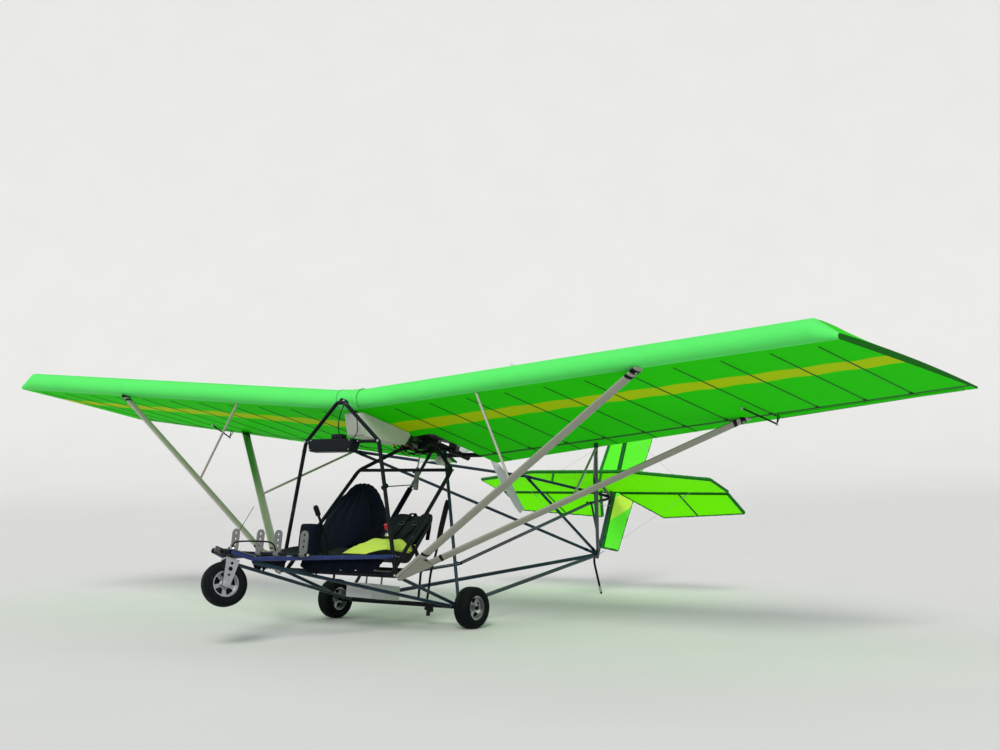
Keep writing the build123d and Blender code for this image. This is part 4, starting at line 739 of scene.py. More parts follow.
    def skin(self, mesh: bmesh.types.BMesh, rows: list[tuple[float, float]]) -> None:
        """Adds the closed panel; two rows at one station make a step in its trailing edge.

        Args:
            mesh: the mesh it is added to.
            rows: stations from the root out, each with the share of the chord where the cloth ends.
        """
        made = []
        for station, limit in rows:
            points, looks = self.loop(station, limit)
            made.append(([mesh.verts.new(self.place(p)) for p in points], looks))
        for (one, looks), (two, _), start, end in zip(made, made[1:], rows, rows[1:]):
            if start[0] == end[0]:
                short, full = (one, two) if start[1] < end[1] else (two, one)
                beyond = [k for k in range(len(full)) if (short[k].co - full[k].co).length > 1e-5]
                wall = [short[beyond[0]], *(full[k] for k in beyond), short[beyond[-1]]]
                mesh.faces.new(wall).material_index = 2
                continue
            count = len(one)
            for k in range(count):
                n = (k + 1) % count
                if (one[k].co - one[n].co).length + (two[k].co - two[n].co).length < 1e-6:
                    continue
                mesh.faces.new((one[k], one[n], two[n], two[k])).material_index = looks[k]
        for row, _ in (made[0], made[-1]):
            mesh.faces.new(row).material_index = 2

    def stations(self, start: float, end: float, count: int) -> list[float]:
        """Evenly spaced stations."""
        return [start + (end - start) * k / count for k in range(count + 1)]

    def build(self) -> None:
        """Makes the panel's cloth, its battens and hinges, and the aileron."""
        s = self.sizes
        bay, inner = self.station(s.bay_x), self.station(s.aileron_inner - 6.0)
        outer = 1.0 + (s.aileron_outer + 6.0 - s.rib_x) / (s.tip_rear_x - s.rib_x)
        mesh = bmesh.new()
        rows = [(p, self.bay_limit(p)) for p in self.stations(0.0, bay, 4)]
        rows += [(p, 1.0) for p in self.stations(bay, inner, 60)]
        rows += [(p, self.limit(p, s.aileron_gap)) for p in self.stations(inner, 1.0, 24)]
        rows += [(p, self.limit(p, s.aileron_gap)) for p in self.stations(1.0, outer, 8)[1:]]
        rows += [(p, 1.0) for p in self.stations(outer, 2.0, 4)]
        self.skin(mesh, rows)
        bmesh.ops.remove_doubles(mesh, verts=mesh.verts, dist=1e-5)
        sail = self.shop.piece(
            f"wing_cloth_{self.side.word}", mesh, ("wing_green", "wing_stripe", "seam_and_painted_shadow_green", "wing_light"),
            replaces=(f"wing_{self.side.word}",), smooth=40.0,
        )
        self.battens(outer)
        self.aileron(outer)
        self.hinges()

    def battens(self, outer: float) -> None:
        """Batten pockets under and over the cloth, each with a patch at the rear spar; their dark green is painted
        shadow of the battens seen through the cloth.
        """
        s = self.sizes
        mesh = bmesh.new()
        lift, out = self.root.up, Vector((1, 0, 0))
        count = int((s.rib_x - s.root_x) / s.batten_pitch)
        xs = [s.root_x + s.batten_pitch * (k + 1) for k in range(count)]
        for x in [*xs, s.rib_x - 8.0]:
            station = self.station(x)
            limit = 1.0 if x < s.aileron_inner else self.limit(station, s.aileron_gap + 4.0)
            for kind, way in (("under", -1.0), ("over", 1.0)):
                shares = [0.055 + (limit - 0.06) * k / 20 for k in range(21)]
                line = [self.place(self.point(kind, station, c) + lift * way * 0.4) for c in shares]
                turned = self.place(lift * way * 2.6) - self.place(Vector((0, 0, 0)))
                side = self.place(out) - self.place(Vector((0, 0, 0)))
                ribbon(mesh, line, side, 0.017 if way < 0 else 0.022, [turned] * 21, 0)
            band = self.under_shares(station)[-5]
            spot = self.point("under", station, band - 0.012) - lift * 1.2
            along = self.place(self.root.along) - self.place(Vector((0, 0, 0)))
            ends = [self.place(spot) - along * 20.0, self.place(spot) + along * 20.0]
            ribbon(mesh, ends, side, 0.034, [self.place(-lift * 2.0) - self.place(Vector((0, 0, 0)))] * 2, 1)
        self.shop.piece(f"wing_battens_{self.side.word}", mesh, ("seam_and_painted_shadow_green", "webbing"))

    def aileron(self, outer: float) -> None:
        """The aileron's cloth behind its torque tube."""
        s = self.sizes
        mesh = bmesh.new()
        places = self.stations(self.station(s.aileron_inner), 1.0, 24)
        places += self.stations(1.0, outer - 0.029, 8)[1:]
        rows = []
        for station in places:
            start = self.limit(station, -6.0)
            sag = self.sag_at(station)
            shares = [start + (1.0 - start) * k / 6 for k in range(7)]
            low = [self.point("under", station, c) + self.root.up * (2.0 * sag * math.sin(math.pi * k / 6)) for k, c in enumerate(shares)]
            high = [self.point("over", station, c) - self.root.up * (2.0 * sag * math.sin(math.pi * k / 6)) for k, c in enumerate(shares)]
            rows.append([mesh.verts.new(self.place(p)) for p in low + high[::-1]])
        for one, two in zip(rows, rows[1:]):
            for k in range(len(one)):
                n = (k + 1) % len(one)
                face = mesh.faces.new((one[k], one[n], two[n], two[k]))
                face.material_index = 1 if k in (5, 7) else 0
        for row in (rows[0], rows[-1]):
            mesh.faces.new(row).material_index = 1
        add_tube(mesh, [self.place(p) for p in self.hinge], s.aileron_tube / 2000, 20, 2)
        body = f"aileron_{self.side.word}"
        horn = self.hinge[0] + self.hinge_way * 24.0
        tip = horn + Vector((0, -12.0, -92.0))
        add_tube(mesh, [self.place(horn), self.place(tip)], 0.005, 8, 2)
        add_tube(mesh, [self.place(horn + Vector((0, 40, -6))), self.place(tip)], 0.004, 8, 2)
        cloth = self.shop.piece(f"aileron_cloth_{self.side.word}", mesh, ("wing_green", "seam_and_painted_shadow_green", "frame_black"), body, (body,))

    def hinges(self) -> None:
        """Hinge brackets on the rear spar, with their bolts."""
        mesh = bmesh.new()
        s = self.sizes
        for share in (0.06, 0.5, 0.94):
            centre = self.hinge[0].lerp(self.hinge[1], share)
            way = self.place(self.hinge_way) - self.place(Vector((0, 0, 0)))
            middle = self.place(centre)
            ring = []
            for k in range(25):
                a = 2 * math.pi * k / 24
                offset = self.aft * math.cos(a) + self.hinge_way.cross(self.aft) * math.sin(a)
                ring.append(self.place(centre + offset * (s.aileron_tube / 2 + 3.4)))
            add_tube(mesh, ring, 0.0028, 6)
            front = centre - self.aft * (s.aileron_gap + 16.0)
            near = centre - self.aft * (s.aileron_tube / 2 + 4.0)
            add_tube(mesh, [self.place(front), self.place(near)], 0.0052, 10)
            for off in (-0.011, 0.011):
                add_bolt(mesh, self.place(front) + way * (off * 1000), way * (1 if off > 0 else -1), 0.004)
        self.shop.piece(f"aileron_brackets_{self.side.word}", mesh, ("frame_black",))


# The tail's fabric


class RootCover:
    """The loose cloth sleeve that closes the gap between both panels over the leading edge."""

    REACH = 118.0
    LIFT = 3.2
    CROWN = 22
    CUT = (0.236, 1.300)

    def __init__(self, shop: Workshop, sizes: WingSizes) -> None:
        """Uses one panel's shape for both halves."""
        self.shop, self.panel = shop, SailWing(shop, Side.PORT, sizes)

    def outline(self, x: float) -> list[Vector]:
        """Points from under the leading edge round it and back over the crown at a distance out."""
        panel = self.panel
        station = panel.station(max(abs(x), panel.sizes.root_x))
        places = [("nose", 0.10 + 0.90 * k / 16) for k in range(17)] + [("over", 0.03 + 0.60 * k / 14) for k in range(15)]
        points = []
        for kind, value in places:
            p = panel.point(kind, station, value)
            points.append(Vector((x, p.y, p.z)))
        return points

    def build(self) -> None:
        """Makes the sleeve with slack folds that run to the arch, and its two drawn hems."""
        mesh = bmesh.new()
        steps = 48
        sheets = []
        hems = [[], []]
        for layer in (0.0, 1.4):
            grid = []
            for i in range(steps + 1):
                x = -self.REACH + 2 * self.REACH * i / steps
                points = self.outline(x)
                row = []
                for k, p in enumerate(points):
                    along = points[min(k + 1, len(points) - 1)] - points[max(k - 1, 0)]
                    out = Vector((0, along.z, -along.y)).normalized() * -1.0
                    slack = math.cos(math.pi * x / self.REACH / 2) ** 0.7 if abs(x) < self.REACH else 0.0
                    fan = math.atan2(x, 40.0 + 9.0 * k)
                    fold = 2.6 * abs(math.sin(fan * 7 + 0.6 * math.sin(k * 0.7))) + 1.6 * math.sin(x * 0.12 + k * 0.9)
                    rise = self.LIFT + layer + slack * (2.4 + fold)
                    row.append(mesh.verts.new(self.panel.place(p + out * rise)))
                    if layer and i in (1, steps - 1):
                        hems[i > 1].append(self.panel.place(p + out * (rise + 0.6)))
                grid.append(row)
            for one, two in zip(grid, grid[1:]):
                for k in range(len(one) - 1):
                    mesh.faces.new((one[k], one[k + 1], two[k + 1], two[k])).material_index = int(k >= self.CROWN)
            sheets.append(grid)
        rims = [[g[0] for g in s] + s[-1][1:] + [g[-1] for g in reversed(s[:-1])] + s[0][-2:0:-1] for s in sheets]
        for k in range(len(rims[0])):
            n = (k + 1) % len(rims[0])
            mesh.faces.new((rims[0][k], rims[0][n], rims[1][n], rims[1][k]))
        # Round the leading edge the sleeve takes the paler copy of the green as painted light; over the crown it takes
        # the plain green.
        cover = self.shop.piece("root_cover", mesh, ("wing_light", "wing_green"), smooth=60.0)
        mesh = bmesh.new()
        for line in hems:
            add_tube(mesh, line[:24], 0.0016, 6, 0)
        hems = self.shop.piece("root_cover_hems", mesh, ("webbing",))


@dataclass(frozen=True)
class Patch:
    """One bay of tail fabric between four corners, in millimetres."""

    corners: tuple[Point, Point, Point, Point]
    finish: int = 0


class TailSurface:
    """Fabric stretched over a tube frame, with sleeves and rib tapes."""

    THICK = 12.6
    SAG = 3.8
    REST = {"tailplane": "stabiliser"}

    def __init__(self, shop: Workshop, name: str, body: str, cut: tuple[float, float], patches: tuple[Patch, ...], sleeves: tuple, tapes: tuple) -> None:
        """Keeps the flat cut, the bays, the edge tubes that get sleeves and the ribs that get tapes."""
        self.shop, self.name, self.body, self.cut = shop, name, body, cut
        self.patches, self.sleeves, self.tapes = patches, sleeves, tapes

    def place(self, p: Vector) -> Vector:
        """Row-frame place of a point in millimetres."""
        return self.shop.ship.at(p[0] / 1000, p[1] / 1000, p[2] / 1000)

    def build(self) -> None:
        """Makes the cloth on both sides, then the sleeves and the tapes."""
        mesh = bmesh.new()
        steps, area = 14, 0.0
        for patch in self.patches:
            a, b, c, d = (Vector(p) for p in patch.corners)
            area += (c - a).cross(d - b).length / 2e6
            normal = ((c - a).cross(d - b)).normalized()
            for way in (-1.0, 1.0):
                grid = []
                for i in range(steps + 1):
                    row = []
                    for j in range(steps + 1):
                        u, v = i / steps, j / steps
                        p = a.lerp(b, u).lerp(d.lerp(c, u), v)
                        dip = self.SAG * (math.sin(math.pi * u) * math.sin(math.pi * v)) ** 0.6
                        row.append(mesh.verts.new(self.place(p + normal * way * (self.THICK - dip))))
                    grid.append(row)
                for i in range(steps):
                    for j in range(steps):
                        quad = (grid[i][j], grid[i + 1][j], grid[i + 1][j + 1], grid[i][j + 1])
                        if len({tuple(round(x, 6) for x in v.co) for v in quad}) == 4:
                            mesh.faces.new(quad).material_index = patch.finish
        cloth = self.shop.piece(f"{self.name}_cloth", mesh, ("tail_lime", "tail_patch", "fin_green"), self.body)
        mesh = bmesh.new()
        for start, end, radius in self.sleeves:
            self.sleeve(mesh, Vector(start), Vector(end), radius)
        for start, end, normal in self.tapes:
            for way in (-1.0, 1.0):
                line = [self.place(Vector(start).lerp(Vector(end), k / 12) + Vector(normal) * way * (self.THICK - 0.3)) for k in range(13)]
                rise = self.place(Vector(normal) * way * 1.8) - self.place(Vector((0, 0, 0)))
                side = (line[-1] - line[0]).cross(rise)
                ribbon(mesh, line, side, 0.026, [rise] * 13, 0)
        # The sleeves and tapes take the dark green that paints the shade of the tubes seen through the cloth.
        edges = self.shop.piece(f"{self.name}_sleeves", mesh, ("sleeve_painted_shade_green",), self.body)

    def sleeve(self, mesh: bmesh.types.BMesh, start: Vector, end: Vector, radius: float) -> None:
        """A gathered cloth sleeve round an edge tube."""
        length = (end - start).length
        count = max(8, int(length / 22))
        way = (end - start).normalized()
        spare = Vector((0, 0, 1)) if abs(way.z) < 0.9 else Vector((1, 0, 0))
        side = way.cross(spare).normalized()
        other = way.cross(side)
        rows = []
        for k in range(count + 1):
            ripple = 0.7 * math.sin(k * 2.1) + 0.5 * math.sin(k * 0.9 + 1.0)
            size = radius + (ripple if 0 < k < count else -0.8)
            centre = start.lerp(end, k / count)
            rows.append([
                mesh.verts.new(self.place(centre + (side * math.cos(a) + other * math.sin(a)) * size))
                for a in (2 * math.pi * j / 14 for j in range(14))
            ])
        for one, two in zip(rows, rows[1:]):
            for j in range(14):
                mesh.faces.new((one[j], one[(j + 1) % 14], two[(j + 1) % 14], two[j]))
        for row in (rows[0], rows[-1]):
            mesh.faces.new(row)


def stab_z(y: float) -> float:
    """Height of the tailplane at a distance aft."""
    return 1422.0 - 0.22 * (y - 2330.0)


class Tail:
    """Fabric of the tailplane, elevator, fin and rudder, with the stay wires."""

    DROOP = math.radians(24.0)
    AXIS_Y = 2895.0

    def __init__(self, shop: Workshop) -> None:
        """Keeps the workshop."""
        self.shop = shop

    def build(self) -> None:
        """Makes the four surfaces and the wires."""
        self.tailplane()
        self.elevator()
        self.upright_surfaces()
        self.wires()

    def tailplane(self) -> None:
        """Three bays a side, with sleeves on the outer tubes."""
        patches, sleeves = [], []

        def at(x: float, y: float) -> Point:
            return (x, y, stab_z(y))

        def front(x: float) -> float:
            return 2330.0 if abs(x) < 557 else 2330.0 + (abs(x) - 557.0) / 810.0 * 213.0

        for sign in (-1, 1):
            xs = [0.0, 557.0, 962.0, 1367.0]
            for inner, outer in zip(xs, xs[1:]):
                a, b = sign * inner, sign * outer
                patches.append(Patch((at(a, front(a)), at(b, front(b)), at(b, 2860.0), at(a, 2860.0))))
            sleeves.append((at(0.0, 2330.0), at(sign * 557.0, 2330.0), 16.5))
            sleeves.append((at(sign * 557.0, 2330.0), at(sign * 1367.0, 2543.0), 16.5))
            sleeves.append((at(sign * 1367.0, 2543.0), at(sign * 1367.0, 2862.0), 14.5))
            for start, end in ((20.0, 44.0), (76.0, 684.0), (716.0, 1244.0), (1276.0, 1360.0)):
                sleeves.append((at(sign * start, 2862.0), at(sign * end, 2862.0), 14.0))
        TailSurface(self.shop, "tailplane", "airframe", (2.74, 0.53), tuple(patches), tuple(sleeves), ()).build()

    def elevator(self) -> None:
        """Both halves in the drooped plane, open round the hinge eyes."""
        drop, aft = math.sin(self.DROOP), math.cos(self.DROOP)

        def at(x: float, chord: float) -> Point:
            return (x, self.AXIS_Y + chord * aft, stab_z(self.AXIS_Y) - chord * drop)

        normal = Vector((0, drop, aft))
        patches, sleeves, tapes = [], [], []
        start = 26.0
        for sign in (-1, 1):
            corner = 109.0 + 269.0 * start / 475.0
            x1, x2, x3 = sign * 378.0, sign * 800.0, sign * 1340.0
            patches.append(Patch((at(sign * corner, start), at(x1, 475.0), at(x1, 250.0), at(x1, start))))
            patches.append(Patch((at(x1, start), at(x2, start), at(x2, 428.0), at(x1, 475.0))))
            patches.append(Patch((at(x2, start), at(x3, start), at(x3, 370.0), at(x2, 428.0))))
            sleeves.append((at(sign * corner, start), at(x1, 475.0), 16.5))
            sleeves.append((at(x1, 475.0), at(x3, 370.0), 16.5))
            sleeves.append((at(x3, 370.0), at(x3, 20.0), 16.0))
            tapes.append((at(x2, start), at(x2, 426.0), normal))
        TailSurface(self.shop, "elevator", "elevator", (2.68, 0.45), tuple(patches), tuple(sleeves), tuple(tapes)).build()

    def upright_surfaces(self) -> None:
        """Fin ahead of the post and rudder behind it, with the pale diagonal panel."""

        def post(z: float, off: float = 0.0) -> Point:
            return (0.0, 2918.0 + (z - 1250.0) * 0.248 + off, z)

        base, top = (0.0, 2668.0, 1370.0), (0.0, 2957.0, 2070.0)
        fin = (
            Patch((base, top, post(2029.0, -14.0), post(1356.0, -14.0)), 2),
        )
        sleeves = ((base, top, 15.0), (top, post(2029.0), 14.0), (post(1362.0, -20.0), base, 14.0))
        TailSurface(self.shop, "fin", "airframe", (0.27, 0.72), fin, sleeves, ()).build()
        low, high = 744.0, 2085.0
        edge = {z: y for y, z in ((3100.0, 737.0), (3281.0, 1215.0), (3455.0, 1659.0), (3549.0, 1876.0), (3600.0, 2070.0))}

        def back(z: float) -> Point:
            heights = sorted(edge)
            for a, b in zip(heights, heights[1:]):
                if a <= z <= b:
                    return (0.0, edge[a] + (edge[b] - edge[a]) * (z - a) / (b - a), z)
            return (0.0, edge[heights[-1]], heights[-1])

        cuts = ((low, 737.0, 2), (1014.0, 1191.0, 1), (1250.0, 1427.0, 2), (1560.0, 1659.0, 2), (1770.0, 1876.0, 2), (high, 2070.0, 2))
        patches = [
            Patch((post(a, 59.0), back(b), back(d), post(c, 59.0)), finish)
            for (a, b, finish), (c, d, _) in zip(cuts, cuts[1:])
        ]
        sleeves = [(post(low, 36.0), back(737.0), 13.6), (back(2070.0), post(high, 36.0), 13.6)]
        heights = sorted(edge)
        sleeves += [(back(a), back(b), 13.6) for a, b in zip(heights, heights[1:])]
        TailSurface(self.shop, "rudder", "rudder", (0.56, 1.33), tuple(patches), tuple(sleeves), ()).build()

    def wires(self) -> None:
        """Stay wires from the tailplane to the fin and to the foot of the post."""
        mesh = bmesh.new()
        at = self.shop.ship.at
        for sign in (-1, 1):
            outer = at(sign * 0.962, 2.862, stab_z(2862.0) / 1000 + 0.014)
            under = at(sign * 0.962, 2.862, stab_z(2862.0) / 1000 - 0.014)
            add_tube(mesh, [outer, at(sign * 0.012, 3.085, 1.930)], 0.0013, 6)
            add_tube(mesh, [under, at(sign * 0.016, 2.770, 0.668)], 0.0013, 6)
            for end, other in ((outer, at(sign * 0.012, 3.085, 1.930)), (under, at(sign * 0.016, 2.770, 0.668))):
                way = (other - end).normalized()
                add_tube(mesh, [end + way * 0.02, end + way * 0.11], 0.0042, 8)
                add_tube(mesh, [other - way * 0.06, other - way * 0.01], 0.0034, 8)
        self.shop.piece("tail_wires", mesh, ("bolt_steel",))


# The cabin


class Pad:
    """A stuffed pad with a crowned face and puckers."""

    def __init__(self, size: tuple[float, float, float], tufts: tuple[int, int]) -> None:
        """Keeps the pad's width, length and depth in metres and its puckers."""
        self.size, self.tufts = size, tufts

    def add(self, mesh: bmesh.types.BMesh, middle: Vector, across: Vector, along: Vector) -> None:
        """Adds the pad to a mesh.

        Args:
            mesh: the mesh it is added to.
            middle: centre of the pad.
            across: its width's direction.
            along: its length's direction.
        """
        width, length, depth = self.size
        across, along = across.normalized(), along.normalized()
        out = across.cross(along)
        steps = 36
        sheets = []
        for way in (1.0, -1.0):
            grid = []
            for i in range(steps + 1):
                row = []
                for j in range(steps + 1):
                    u, v = 2 * i / steps - 1, 2 * j / steps - 1
                    edge = max(0.0, (1 - abs(u) ** 8) * (1 - abs(v) ** 8)) ** 0.35
                    puff = 1.0
                    if way > 0:
                        wave_u = abs(math.cos(math.pi * u * self.tufts[0] / 2))
                        wave_v = abs(math.cos(math.pi * v * self.tufts[1] / 2))
                        puff = 0.80 + 0.20 * (wave_u * wave_v) ** 0.5
                    soft = 1 - 0.02 * (u * u * v * v)
                    height = way * depth / 2 * edge * puff
                    row.append(mesh.verts.new(middle + across * (u * width / 2 * soft) + along * (v * length / 2 * soft) + out * height))
                grid.append(row)
            for i in range(steps):
                for j in range(steps):
                    mesh.faces.new((grid[i][j], grid[i + 1][j], grid[i + 1][j + 1], grid[i][j + 1]))
            sheets.append(grid)


def strap(mesh: bmesh.types.BMesh, points: list[Vector], across: list[Vector], width: float, thick: float = 0.0022, index: int = 0) -> None:
    """A flat woven strap along points, lying square to the given directions."""
    rows = []
    count = len(points)
    for k, (point, side) in enumerate(zip(points, across)):
        along = (points[min(k + 1, count - 1)] - points[max(k - 1, 0)]).normalized()
        side = (side - along * side.dot(along)).normalized()
        out = side.cross(along) * (thick / 2)
        half = side * (width / 2)
        rows.append([mesh.verts.new(point + a * half + b * out) for a, b in ((-1, -1), (1, -1), (1, 1), (-1, 1))])
    for one, two in zip(rows, rows[1:]):
        for k in range(4):
            mesh.faces.new((one[k], one[(k + 1) % 4], two[(k + 1) % 4], two[k])).material_index = index
    for row in (rows[0], rows[-1]):
        mesh.faces.new(row).material_index = index


def curve_points(stops: list[Vector], count: int = 10) -> list[Vector]:
    """Smooth points through the given stops."""
    points = []
    padded = [stops[0] * 2 - stops[1], *stops, stops[-1] * 2 - stops[-2]]
    for k in range(1, len(padded) - 2):
        p0, p1, p2, p3 = padded[k - 1: k + 3]
        for step in range(count):
            t = step / count
            points.append(0.5 * ((2 * p1) + (p2 - p0) * t + (2 * p0 - 5 * p1 + 4 * p2 - p3) * t * t + (3 * p1 - p0 - 3 * p2 + p3) * t ** 3))
    return [*points, stops[-1]]


class Cabin:
    """Cushions, the seat cover, harness, instruments, controls, tank and the frame's foam sleeves."""

    SEAT_X = 0.270

    def __init__(self, shop: Workshop) -> None:
        """Keeps the workshop and its ship frame."""
        self.shop = shop
        self.at = shop.ship.at

    def build(self) -> None:
        """Makes every cabin piece."""
        self.seat_shells()
        self.cushions()
        self.cover()
        self.pouch()
        self.hanging_straps()
        self.aerial()
        self.curtains()
        self.wiring()
        self.harness()
        self.pod()
        self.tank()
        self.levers()

    def seat_shells(self) -> None:
        """Both cloth-covered seats: one curved sheet each from the front lip to a round-cornered back."""
        mesh = bmesh.new()
        profile = curve_points([
            Vector((0, -0.958, 0.318)), Vector((0, -0.800, 0.316)), Vector((0, -0.560, 0.310)), Vector((0, -0.445, 0.314)),
            Vector((0, -0.385, 0.378)), Vector((0, -0.290, 0.520)), Vector((0, -0.205, 0.645)), Vector((0, -0.161, 0.708)),
        ], 5)
        count = len(profile)
        steps = 32
        for sign in (-1, 1):
            sides = []
            for way in (1.0, -1.0):
                grid = []
                for k, place in enumerate(profile):
                    ahead = (profile[min(k + 1, count - 1)] - profile[max(k - 1, 0)]).normalized()
                    out = Vector((0, -ahead.z, ahead.y))
                    left = (profile[-1] - place).length
                    corner = math.sqrt(max(0.0, 1 - (1 - min(1.0, left / 0.11)) ** 2))
                    half = 0.221 - 0.105 * (1 - corner)
                    first = min(1.0, k / 6)
                    wall = 0.066 * (0.25 + 0.75 * first) * (0.35 + 0.65 * corner)
                    row = []
                    for i in range(steps + 1):
                        u = 2 * i / steps - 1
                        rise = wall * max(0.0, (abs(u) - 0.74) / 0.26) ** 1.5
                        ridge = 0.0022 * abs(math.sin(math.pi * 4.5 * u)) if abs(u) < 0.74 else 0.0
                        p = place + Vector((sign * self.SEAT_X + half * u, 0, 0)) + out * (rise + ridge + way * 0.007)
                        row.append(mesh.verts.new(self.at(*p)))
                    grid.append(row)
                for one, two in zip(grid, grid[1:]):
                    for i in range(steps):
                        mesh.faces.new((one[i], one[i + 1], two[i + 1], two[i]))
                sides.append(grid)
            rims = [[g[0] for g in s] + s[-1][1:] + [g[-1] for g in reversed(s[:-1])] + s[0][-2:0:-1] for s in sides]
            for k in range(len(rims[0])):
                n = (k + 1) % len(rims[0])
                mesh.faces.new((rims[0][k], rims[0][n], rims[1][n], rims[1][k]))
        self.shop.piece("seat_shells", mesh, ("seat_black",), replaces=("seats",), smooth=60.0)

    def cushions(self) -> None:
        """The port seat's loose lime cushion, lumpy and thick at the back, and the thin black back pad."""
        mesh = bmesh.new()
        steps = 44
        tops = ((0.0, 0.372), (0.15, 0.412), (0.32, 0.450), (0.55, 0.486), (0.80, 0.508), (1.0, 0.460))
        sheets = []
        for way in (0, 1):
            grid = []
            for j in range(steps + 1):
                v = j / steps
                y = -0.850 + 0.462 * v
                low = 0.328 + 0.130 * max(0.0, (v - 0.88) / 0.12) ** 1.5
                top = next(a[1] + (b[1] - a[1]) * (v - a[0]) / (b[0] - a[0]) for a, b in zip(tops, tops[1:]) if a[0] <= v <= b[0])
                row = []
                for i in range(steps + 1):
                    u = 2 * i / steps - 1
                    edge = max(0.0, (1 - abs(u) ** 4) * (1 - abs(2 * v - 1) ** 6)) ** 0.42
                    lump = 1 + 0.08 * math.sin(u * 4.1 + 1.2) * math.sin(v * 7.3) + 0.05 * math.sin(u * 9 + v * 11)
                    crease = 0.010 * math.exp(-((u + 0.35 - 0.5 * v) / 0.06) ** 2) + 0.008 * math.exp(-((v - 0.36 - 0.1 * u) / 0.035) ** 2)
                    middle = (low + top) / 2 - 0.012
                    half = (top - low) / 2 * edge * lump
                    z = middle + half - crease * edge if way else max(low, middle - half) + 0.002 * (1 - edge)
                    pull = (1 - 0.035 * math.cos(math.pi * (v - 0.5))) * (1 - 0.10 * (1 - v) ** 3)
                    row.append(mesh.verts.new(self.at(self.SEAT_X + u * 0.186 * pull, y, z)))
                grid.append(row)
            for one, two in zip(grid, grid[1:]):
                for i in range(steps):
                    mesh.faces.new((one[i], one[i + 1], two[i + 1], two[i]))
            sheets.append(grid)
        rims = [[g[0] for g in s] + s[-1][1:] + [g[-1] for g in reversed(s[:-1])] + s[0][-2:0:-1] for s in sheets]
        for k in range(len(rims[0])):
            n = (k + 1) % len(rims[0])
            if (rims[0][k].co - rims[1][k].co).length + (rims[0][n].co - rims[1][n].co).length > 1e-6:
                mesh.faces.new((rims[0][k], rims[0][n], rims[1][n], rims[1][k]))
        base = self.shop.piece("cushion_base", mesh, ("cushion_lime",), replaces=(), smooth=60.0)
        mesh = bmesh.new()
        way = self.at(0, -0.190, 0.701) - self.at(0, -0.398, 0.448)
        Pad((0.310, 0.250, 0.042), (5, 1)).add(mesh, self.at(self.SEAT_X, -0.306, 0.560), self.at(1, 0, 0) - self.at(0, 0, 0), way)
        back = self.shop.piece("cushion_back", mesh, ("seat_black",), replaces=("seat_cushions",), smooth=60.0)

    def cover(self) -> None:
        """The dark cloth cover drawn up over the starboard seat's back, slack folds falling from its peak."""
        outline = (
            (-0.655, 0.362), (-0.600, 0.520), (-0.520, 0.700), (-0.420, 0.868), (-0.345, 0.948), (-0.290, 0.960),
            (-0.225, 0.935), (-0.185, 0.880), (-0.140, 0.770), (-0.080, 0.625), (-0.140, 0.548), (-0.399, 0.390), (-0.560, 0.352),
        )
        loop = curve_points([Vector((0, y, z)) for y, z in [*outline, outline[0]]], 8)[:-1]
        mesh = bmesh.new()
        rows = []
        steps = 56
        centre = Vector((0, sum(p.y for p in loop) / len(loop), sum(p.z for p in loop) / len(loop)))
        for i in range(steps + 1):
            u = 2 * i / steps - 1
            draw = (1 - abs(u) ** 4) ** 0.45 if abs(u) < 1 else 0.0
            row = []
            for k, p in enumerate(loop):
                rise = max(0.0, min(1.0, (p.z - 0.57) / 0.385))
                half = 0.236 - 0.120 * rise ** 1.7
                arm = (p - centre) * (0.34 + 0.66 * draw)
                around = 2 * math.pi * k / len(loop)
                fan = math.atan2(u * half, 1.02 - p.z)
                fold = 0.010 * math.sin(fan * 21 + 1.3 * math.sin(around * 2)) * (0.35 + rise)
                fold += 0.007 * math.sin(p.z * 55 + u * 5 + 3 * math.sin(around)) * (1 - rise)
                fold += 0.0025 * math.sin(around * 17 + u * 13)
                slump = 1 + (fold - 0.009) / max(0.08, arm.length) * draw
                row.append(mesh.verts.new(self.at(-self.SEAT_X + u * half, centre.y + arm.y * slump, centre.z + arm.z * slump)))
            rows.append(row)
        for one, two in zip(rows, rows[1:]):
            for k in range(len(loop)):
                n = (k + 1) % len(loop)
                mesh.faces.new((one[k], one[n], two[n], two[k]))
        for row in (rows[0], rows[-1]):
            mesh.faces.new(row)
        bag = self.shop.piece("cover_bag", mesh, ("cover_black",), replaces=("seat_cover",), smooth=70.0)

    def pouch(self) -> None:
        """The soft dark bag hung behind the stick on the front lip of the starboard seat."""
        mesh = bmesh.new()
        way = self.at(0, 0.03, 1) - self.at(0, 0, 0)
        Pad((0.190, 0.250, 0.105), (1, 1)).add(mesh, self.at(-0.105, -1.022, 0.425), self.at(1, 0, 0) - self.at(0, 0, 0), way)
        bag = self.shop.piece("stick_pouch", mesh, ("cover_black",), smooth=60.0)
        mesh = bmesh.new()
        side = self.at(1, 0, 0) - self.at(0, 0, 0)
        for x in (-0.150, -0.060):
            line = curve_points([self.at(x, -0.972, 0.45), self.at(x, -0.962, 0.40), self.at(x, -0.950, 0.335), self.at(x, -0.900, 0.329)], 6)
            strap(mesh, line, [side] * len(line), 0.022)
        self.shop.piece("pouch_straps", mesh, ("webbing",))

